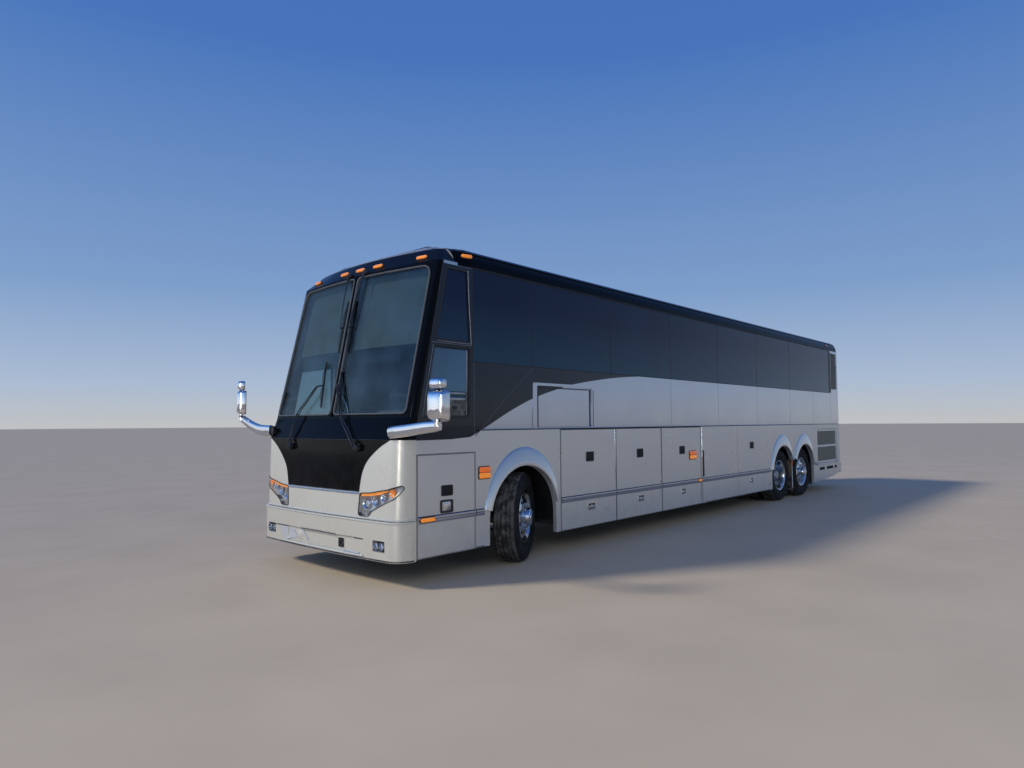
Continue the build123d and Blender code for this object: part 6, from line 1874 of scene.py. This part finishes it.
# driver's seat on its air suspension
g = Geo()
up_d = Vector((-0.0869, 0, 0.9962))
fw_d = Vector((0.9962, 0, 0.0869))
pad(g, (0.800, 0.640, 1.560), EX, EY, EZ, (0.240, 0.248, 0.058), 0.036, 0.020, 0.012, (-0.16, 0.16), (-0.05, 0.10), 0.009, 0, (3, 3))
piping(g, (0.800, 0.640, 1.560), EX, EY, EZ, (0.240, 0.248, 0.058), 0.036, 0.036, 1)
b = Vector((0.582, 0.640, 1.900))
pad(g, b, up_d, EY, fw_d, (0.310, 0.236, 0.050), 0.036, 0.022, 0.012, (-0.15, 0.15), (-0.16, -0.02, 0.12), 0.009, 0, (3, 3))
piping(g, b, up_d, EY, fw_d, (0.310, 0.236, 0.050), 0.036, 0.034, 1)
pad(g, b + up_d * 0.365, up_d, EY, fw_d, (0.050, 0.130, 0.040), 0.030, 0.012, 0.008, (), (), 0.0, 0, (3, 3))
obj = g.done("driver_seat_pads", [M["leather"], M["fabric"]], replaces=["driver_seat"], sharp=60)
g = Geo()
for i in range(9):
    z = 1.190 + i * 0.032
    w = 0.148 if i % 2 else 0.130
    prism(g, rect(0.790 - w, 0.790 + w, 0.640 - w, 0.640 + w, 0.03, 3), "z", z, z + 0.034, 0, 0.008)
prism(g, rect(0.640, 0.940, 0.490, 0.790, 0.02, 3), "z", 1.152, 1.190, 1, 0.004)
prism(g, rect(0.600, 1.010, 0.420, 0.860, 0.03, 3), "z", 1.474, 1.500, 1, 0.004)
prism(g, soften([(-0.30, -0.225), (0.30, -0.215), (0.30, 0.215), (-0.30, 0.225)], 0.06, 4), lambda u, v, w: b + up_d * u + EY * v + fw_d * w, -0.064, -0.051, 2, 0.004)
for y in (-0.045, 0.045):
    tube(g, [b + up_d * 0.29 + EY * y, b + up_d * 0.335 + EY * y], 0.007, 8, 3)
for y in (0.375, 0.905):
    tube(g, smooth_path([(0.575, y, 1.800), (0.60, y, 1.812), (0.80, y, 1.818), (0.860, y, 1.812)], 4), 0.022, 10, 2, squeeze=0.8)
g.done("driver_seat_base", [M["rubber"], M["steel"], M["plastic_black"], M["chrome"]], replaces=["driver_seat"])

# steering wheel
ax = Vector((-0.5057, 0, 0.8627))
c0 = Vector((1.230, 0.640, 1.790)) + ax * 0.034
u, v, w = basis(ax)
g = Geo()
ring = [c0 + (u * math.cos(t) + v * math.sin(t)) * 0.225 for t in np.linspace(0, 2 * math.pi, 73)]
tube(g, ring, 0.0148, 12, 0, caps=False)
for i in range(72):
    t = 2 * math.pi * i / 72
    p = c0 + (u * math.cos(t) + v * math.sin(t)) * 0.2118
    q = c0 + (u * math.cos(t + 0.03) + v * math.sin(t + 0.03)) * 0.2118
    tube(g, [p + w * 0.005, q - w * 0.005], 0.0014, 4, 1)
for t in (math.pi / 2, math.pi / 2 + 2.0944, math.pi / 2 - 2.0944):
    d = u * math.cos(t) + v * math.sin(t)
    tube(g, smooth_path([c0 + d * 0.030 - w * 0.010, c0 + d * 0.10 - w * 0.012, c0 + d * 0.17 - w * 0.006, c0 + d * 0.222], 4), 0.012, 8, 2, squeeze=0.6)
lathe(g, [(-0.030, 0.0), (-0.030, 0.032), (-0.012, 0.046), (0.006, 0.048), (0.014, 0.040), (0.018, 0.020), (0.018, 0.0)], c0, w, 32, 2)
lathe(g, [(0.016, 0.027), (0.0195, 0.026), (0.0200, 0.022), (0.0200, 0.0)], c0, w, 24, 1)
g.done("steering_wheel_shape", [M["leather"], M["cabin"], M["plastic_black"]], "steering_wheel", ["steering_wheel"])

# instrument hood, dials, switch rows and vents
g = Geo()
prism(g, soften([(1.300, 1.600), (1.262, 1.700), (1.285, 1.752), (1.380, 1.768), (1.560, 1.700), (1.590, 1.600)], 0.02, 4), "y", 0.330, 0.950, 0, 0.02)
fa = unit(Vector((-0.935, 0, -0.354)))
fb = Vector((-0.354, 0, 0.935))
mid = Vector((1.281, 0.640, 1.650))
prism(g, rect(-0.040, 0.040, -0.275, 0.275, 0.015, 4), lambda a, b2, w: mid + fb * a + EY * b2 + fa * w, 0.0, 0.006, 1, 0.002)
for y, r in ((-0.15, 0.034), (0.0, 0.036), (0.15, 0.034), (-0.075, 0.018), (0.075, 0.018), (-0.225, 0.018), (0.225, 0.018)):
    p = mid + EY * y
    lathe(g, [(0.006, r), (0.012, r), (0.012, r * 0.9), (0.008, r * 0.88), (0.008, 0.0)], p, fa, 28, [2, 2, 2, 3])
    for k in range(9):
        t = math.radians(-130 + 32.5 * k)
        d = EY * math.sin(t) + fb * math.cos(t)
        tube(g, [p + d * r * 0.66 + fa * 0.0086, p + d * r * 0.84 + fa * 0.0086], 0.0006, 4, 4)
    d = EY * math.sin(-1.3 + y * 2) + fb * math.cos(-1.3 + y * 2)
    tube(g, [p + fa * 0.0095, p + d * r * 0.7 + fa * 0.0095], 0.0009, 4, 5)
for i in range(7):
    for j in range(2):
        y0 = 0.975 + i * 0.028
        prism(g, rect(1.262 + j * 0.060, 1.310 + j * 0.060, y0, y0 + 0.022, 0.003, 2), "z", 1.638, 1.648, 1, 0.002)
for y in (-0.16, 0.05, 0.24):
    prism(g, rect(y - 0.075, y + 0.075, 1.500, 1.585, 0.01, 3), lambda a, b2, w: (1.238 - w, a, b2), -0.002, 0.010, 1, 0.003, both=False)
    for k in range(5):
        box(g, (1.222, y - 0.066, 1.512 + 0.015 * k), (1.230, y + 0.066, 1.516 + 0.015 * k), 0, 0.001)
g.done("dashboard_details", [M["cabin"], M["plastic_black"], M["chrome"], M["dial"], M["white_mark"], M["orange"]])

# entrance and driver handrails, partition behind the driver, rack edges with lights
g = Geo()
tube(g, smooth_path([(1.300, -0.300, 1.560), (1.310, -0.420, 1.86), (1.22, -0.62, 1.95), (1.00, -0.80, 1.93), (0.90, -0.88, 1.62), (0.88, -0.90, 1.20)], 6), 0.015, 12, 0)
tube(g, smooth_path([(0.25, 0.30, 1.56), (0.26, 0.30, 2.35), (0.28, 0.36, 2.47), (0.28, 1.16, 2.47)], 5), 0.015, 12, 0)
for sgn in (1, -1):
    tube(g, [(x, sgn * 0.772, 2.905) for x in np.linspace(0.195, -11.290, 40)], 0.011, 8, 1)
    for i in range(13):
        xx = -0.62 - 0.830 * i
        prism(g, rect(xx - 0.13, xx + 0.13, sgn * 0.96 - 0.055, sgn * 0.96 + 0.055, 0.02, 3), "z", 2.905, 2.924, 2, 0.004)
        for k in (-0.06, 0.06):
            lathe(g, [(0, 0.0), (0, 0.020), (-0.004, 0.022), (-0.007, 0.016), (-0.005, 0.0)], (xx + k, sgn * 0.96, 2.905), (0, 0, 1), 14, 3)
g.done("cabin_rails_and_lights", [M["chrome"], M["alloy_dull"], M["cabin"], M["white_mark"]])
g = Geo()
prism(g, soften([(0.300, 1.545), (1.170, 1.545), (1.170, 2.330), (1.06, 2.420), (0.300, 2.420)], 0.03, 4), "x", 0.262, 0.284, 0, 0.004)
g.done("driver_partition", [M["cabin"]])

# roller blinds behind both screens with their rollers and hem bars, and a dark see-through band under them
for side, ya, yb, low, band in (("left", 0.060, 1.145, 2.430, 2.285), ("right", -0.060, -1.145, 2.430, 2.255)):
    rows, cols = 26, 40
    ys = np.linspace(ya, yb, cols + 1)
    zs = np.linspace(low, 3.245, rows + 1)
    verts = [on_screen(y, z, -0.085 - 0.0025 * math.sin(z * 23) * math.sin(y * 5 + 1.0)) for z in zs for y in ys]
    faces = [(i * (cols + 1) + j, i * (cols + 1) + j + 1, (i + 1) * (cols + 1) + j + 1, (i + 1) * (cols + 1) + j) for i in range(rows) for j in range(cols)]
    g = Geo()
    g.add(verts, faces, 0)
    blind = g.done(side + "_roller_blind", [M["shade"]], sharp=80)
    g = Geo()
    tube(g, [on_screen(y, 3.262, -0.090) for y in ys], 0.020, 12, 0)
    bars = g.done(side + "_blind_roller", [M["cabin"]])
    g = Geo()
    tube(g, [on_screen(y, low - 0.004, -0.085) for y in ys], 0.006, 8, 0, squeeze=0.7)
    hem = g.done(side + "_blind_hem", [M["plastic_black"]])
    g = Geo()
    put = lambda y, z: (on_screen(y, z, -0.078), Vector((1, 0, 0.2)))
    lo, hi = sorted((ya, yb))
    skin(g, rect(lo + 0.01, hi - 0.01, band, low + 0.02, 0.03, 4), [], put, 0.0, 0, 0.06, back=0.003)
    g.done(side + "_visor_band", [M["visor"]])


# ---------------------------------------------------------------- rear end and underside
put_rear = lambda y, z: rear_cast((-12.7, y, z), (1, 0, 0))
rear_cast = caster("rear_cap", "engine_door", "tail_lamps", "rear_window")
bump_rear = caster("rear_bumper")

# radiator door: pale frame, two openings with upright ribs in front of a dark core
g = Geo()
skin(g, rect(-11.548, -10.152, 0.657, 1.428, 0.02), [rect(-11.500, -10.205, 0.702, 1.018, 0.012), rect(-11.500, -10.205, 1.067, 1.383, 0.012)],
     flat_put("y", 1.2800), 0.0, 0, 2.0, back=0.024)
prism(g, rect(-11.545, -10.155, 1.0325, 1.0525, 0.004, 2), "y", 1.279, 1.288, 0, 0.003)
prism(g, rect(-11.544, -11.512, 0.665, 1.420, 0.004, 2), "y", 1.279, 1.288, 0, 0.003)
for z0, z1 in ((0.702, 1.018), (1.067, 1.383)):
    for i in range(36):
        x = -11.488 + 1.271 * i / 35
        prism(g, rect(x - 0.0065, x + 0.0065, 1.2560, 1.2745, 0.003, 2), lambda u, v, w: (u, v, w), z0 - 0.004, z1 + 0.004, 1, 0.0)
    for k in (0.25, 0.5, 0.75):
        z = z0 + (z1 - z0) * k
        box(g, (-11.500, 1.250, z - 0.003), (-10.205, 1.2575, z + 0.003), 1, 0.001)
box(g, (-11.530, 1.238, 0.680), (-10.175, 1.242, 1.405), 2, 0.001)
for z in (0.78, 1.30):
    paddle(g, -10.196, -10.158, z - 0.05, z + 0.05, 1.280, 1, 3, 4)
g.done("radiator_door_shape", [M["white_frame"], M["rib"], M["core"], M["chrome"], M["hole"]], "radiator_door", ["radiator_door"])

for sign, side in ((1, "left"), (-1, "right")):
    y = sign * WALL_Y
    g = Geo()
    # slots in the tail: near-black insets of painted shade, each with a raised rim, and a strip above them
    for x0, x1 in ((-10.600, -10.245), (-11.215, -10.745), (-11.490, -11.315)):
        prism(g, rect(x0, x1, 0.498, 0.560, 0.010, 3), "y", y - sign * 0.001, y + sign * 0.0018, 0, 0.0005, both=False)
        skin(g, rect(x0 - 0.008, x1 + 0.008, 0.490, 0.568, 0.014, 3), [rect(x0, x1, 0.498, 0.560, 0.010, 3)], flat_put("y", y, sign), 0.004, 1, 1.0)
    box(g, (-11.55, y - sign * 0.002, 0.6130), (-10.15, y + sign * 0.009, 0.6420), 1, 0.003)
    g.done(side + "_tail_slots", [M["hole"], M["silver_low"]])
    # quarter glass: black pane and band, pale post and sill
    g = Geo()
    skin(g, rect(-11.233, -11.098, 2.288, 3.296, 0.004, 2), [], flat_put("y", y, sign), 0.003, 0, 1.0)
    skin(g, rect(-11.638, -11.237, 2.387, 3.223, 0.035, 4), [], flat_put("y", sign * 1.2792, sign), 0.0012, 0, 1.0)
    skin(g, rect(-11.655, -11.220, 2.370, 3.240, 0.050, 4), [rect(-11.640, -11.235, 2.385, 3.225, 0.04, 4)], flat_put("y", y, sign), 0.0045, 1, 1.0)
    box(g, (-11.243, y - sign * 0.001, 2.400), (-11.228, y + sign * 0.0055, 3.210), 2, 0.002)
    box(g, (-11.620, y - sign * 0.001, 2.376), (-11.250, y + sign * 0.0055, 2.388), 2, 0.002)
    g.done(side + "_quarter_glass_trim", [M["black"], M["rubber"], M["white_frame"]])

# tail lamps: bright bezel, four lens fields with prisms
g = Geo()
for s in (1, -1):
    y0, y1 = sorted((s * 0.940, s * 1.045))
    b0, b1 = sorted((s * 0.929, s * 1.061))
    skin(g, rect(b0, b1, 0.862, 1.498, 0.03, 4), [rect(y0, y1, 0.880, 1.480, 0.02, 4)], put_rear, 0.012, 0, 0.08)
    for z0, z1, m in ((1.335, 1.476, 1), (1.185, 1.327, 1), (1.035, 1.177, 2), (0.960, 1.027, 3), (0.884, 0.952, 1)):
        skin(g, rect(y0 + 0.004, y1 - 0.004, z0, z1, 0.016, 4), [], put_rear, 0.009, m, 0.04)
        for k in range(1, 9):
            y = y0 + (y1 - y0) * k / 9
            pa, na = put_rear(y, z0 + 0.012)
            pb, nb = put_rear(y, z1 - 0.012)
            tube(g, [Vector(pa) + unit(na) * 0.009, Vector(pb) + unit(nb) * 0.009], 0.0016, 5, m)
g.done("tail_lamp_lenses", [M["chrome"], M["red"], M["amber"], M["clear_lens"]])

# high marker lamps
g = Geo()
for y, m in ((0.0, 0), (0.32, 0), (-0.32, 0), (0.96, 0), (-0.96, 0)):
    p, n = put_rear(y, 3.215)
    t = Vector((0, 1, 0))
    b = unit(n.cross(t)) if abs(n.x) > 0.2 else Vector((0, 0, 1))
    n = unit(n)
    b = unit(n.cross(t))
    t = b.cross(n)
    prism(g, rect(-0.075, 0.075, -0.028, 0.028, 0.024, 4), lambda u, v, w, p=p, t=t, b=b, n=n: Vector(p) + t * u + b * v + n * w, -0.004, 0.007, 1, 0.002, both=False)
    prism(g, rect(-0.066, 0.066, -0.020, 0.020, 0.018, 4), lambda u, v, w, p=p, t=t, b=b, n=n: Vector(p) + t * u + b * v + n * w, 0.004, 0.020, 0, 0.007, both=False)
g.done("rear_high_markers", [M["red"], M["plastic_black"]])

# engine door: louvres over a near-black field that is painted shade behind them, handle, hinges
g = Geo()
door_cast = caster("engine_door")
put_door = lambda y, z: door_cast((-12.7, y, z), (1, 0, 0))
field = rect(-0.780, 0.780, 0.740, 1.150, 0.04, 5)
skin(g, field, [], put_door, 0.002, 0, 0.12)
for i in range(11):
    z = 0.775 + 0.034 * i
    line = [Vector(p) + unit(n) * 0.004 for p, n in (put_door(y, z) for y in np.linspace(-0.755, 0.755, 16))]
    tube(g, line, 0.0105, 8, 1, squeeze=0.6)
for y in (-0.26, 0.26):
    line = [Vector(p) + unit(n) * 0.006 for p, n in (put_door(y, z) for z in (0.745, 0.90, 1.05, 1.145))]
    tube(g, line, 0.009, 8, 1)
skin(g, rect(-0.792, 0.792, 0.728, 1.162, 0.05, 5), [field], put_door, 0.009, 1, 0.12)
skin(g, rect(-0.905, 0.905, 0.681, 1.486, 0.03, 5), [rect(-0.893, 0.893, 0.693, 1.474, 0.025, 5)], put_door, 0.003, 2, 0.12)
p, n = put_door(0.0, 1.300)
x = Vector(p).x
prism(g, rect(-0.110, 0.110, 1.262, 1.338, 0.02, 4), "x", x + 0.001, x - 0.003, 2, 0.001, both=False)
prism(g, rect(-0.080, 0.080, 1.276, 1.318, 0.012, 4), "x", x - 0.002, x - 0.012, 3, 0.003, both=False)
for y in (-0.55, 0.55):
    lathe(g, [(-0.07, 0.0), (-0.07, 0.012), (0.07, 0.012), (0.07, 0.0)], (x - 0.004, y, 1.470), (0, 1, 0), 16, 4)
g.done("engine_door_louvres", [M["hole"], M["silver"], M["rubber"], M["chrome"], M["steel"]], "engine_door")

# rear window seal and the joint lines of the cap
g = Geo()
o = rect(-0.905, 0.905, 2.325, 3.085, 0.06, 6)
pts = []
for i in range(len(o)):
    a, b = Vector(o[i]), Vector(o[(i + 1) % len(o)])
    m = max(1, int((b - a).length / 0.08))
    pts += [a + (b - a) * (j / m) for j in range(m)]
ring = [Vector(p) + unit(n) * 0.002 for p, n in (put_rear(q.x, q.y) for q in pts)]
tube(g, ring + [ring[0]], 0.010, 8, 0, caps=False)
for z in (1.552, 2.250):
    line = [Vector(p) + unit(n) * 0.0005 for p, n in (put_rear(y, z) for y in np.linspace(-1.10, 1.10, 40))]
    tube(g, line, 0.004, 6, 0)
g.done("rear_window_seal", [M["rubber"]])

# rear bumper: black pad strip and two reflectors
g = Geo()
put_b2 = lambda y, z: bump_rear((-12.7, y, z), (1, 0, 0))
for z, r, m in ((0.590, 0.010, 1), (0.398, 0.009, 1)):
    line = [Vector(p) + unit(n) * 0.001 for p, n in (put_b2(y, z) for y in np.linspace(-1.0, 1.0, 40))]
    tube(g, line, r, 8, m)
skin(g, rect(-1.02, 1.02, 0.540, 0.572, 0.014, 4), [], put_b2, 0.007, 0, 0.10)
for s in (1, -1):
    y0, y1 = sorted((s * 0.86, s * 0.99))
    skin(g, rect(y0, y1, 0.430, 0.490, 0.012, 4), [], put_b2, 0.007, 2, 0.05)
g.done("rear_bumper_trim", [M["rubber"], M["bumper"], M["red"]])

# roof hatches: seals, hinges and lifting rims
g = Geo()
for x in (-2.600, -8.900):
    for off, r in ((0.012, 0.010), (-0.055, 0.006)):
        o = rect(x - 0.380 - off, x + 0.380 + off, -0.330 - off, 0.330 + off, 0.05, 5)
        up_cast = caster("roof")
        ring = [Vector(up_cast((u, v, 4.2), (0, 0, -1))[0]) for u, v in o]
        tube(g, ring + [ring[0]], r, 8, 0, caps=False)
    for y in (-0.20, 0.20):
        lathe(g, [(-0.04, 0.0), (-0.04, 0.010), (0.04, 0.010), (0.04, 0.0)], (x + 0.395, y, 3.645), (0, 1, 0), 14, 1)
g.done("roof_hatch_seals", [M["rubber"], M["steel"]])


# ---------------------------------------------------------------- underside of the hold
g = Geo()
B0, B1, BW, BZ = -7.34, -0.66, 1.225, 0.360
# folded ribs across the belly and one along each edge
for x in np.linspace(B0 + 0.12, B1 - 0.12, 13):
    box(g, (x - 0.022, -BW + 0.10, BZ - 0.030), (x + 0.022, BW - 0.10, BZ + 0.002), 0, 0.005)
for y in (-BW + 0.07, -0.42, 0.42, BW - 0.07):
    box(g, (B0 + 0.04, y - 0.025, BZ - 0.036), (B1 - 0.04, y + 0.025, BZ + 0.002), 0, 0.006)
# access plates with their screws
for x, y, w, h in ((-1.62, 0.0, 0.26, 0.30), (-3.25, 0.80, 0.20, 0.22), (-4.87, -0.80, 0.20, 0.22), (-6.52, 0.0, 0.26, 0.30)):
    box(g, (x - w, y - h, BZ - 0.0065), (x + w, y + h, BZ + 0.001), 1, 0.002)
    for sx in (-1, 0, 1):
        for sy in (-1, 1):
            lathe(g, [(0, 0.010), (0.004, 0.010), (0.007, 0.006), (0.0075, 0.0)], (x + sx * (w - 0.025), y + sy * (h - 0.025), BZ - 0.0065), (0, 0, -1), 12, 2)
# drain grommets
for x in np.linspace(B0 + 0.5, B1 - 0.5, 5):
    for y in (-1.02, 1.02):
        lathe(g, [(0, 0.026), (0.004, 0.026), (0.007, 0.022), (0.007, 0.012), (0.0, 0.011)], (x, y, BZ), (0, 0, -1), 20, 3)
g.done("belly_ribs", [M["steel"], M["alloy_dull"], M["axle"], M["rubber"]])

# pipes for air and coolant clipped under the belly, between the axles
g = Geo()
for y, r in ((0.20, 0.014), (0.245, 0.014), (0.29, 0.009)):
    tube(g, [(B1 - 0.06, y, BZ - 0.048), (B1 - 0.5, y, BZ - 0.050), (-3.9, y, BZ - 0.050), (B0 + 0.5, y, BZ - 0.050), (B0 + 0.06, y, BZ - 0.048)], r, 12, 0)
for x in np.linspace(B0 + 0.4, B1 - 0.4, 12):
    box(g, (x - 0.012, 0.175, BZ - 0.070), (x + 0.012, 0.312, BZ - 0.064), 1, 0.002)
    for y in (0.172, 0.315):
        box(g, (x - 0.012, y - 0.003, BZ - 0.070), (x + 0.012, y + 0.003, BZ + 0.001), 1, 0.001)
g.done("belly_pipes", [M["plastic_black"], M["alloy_dull"]])
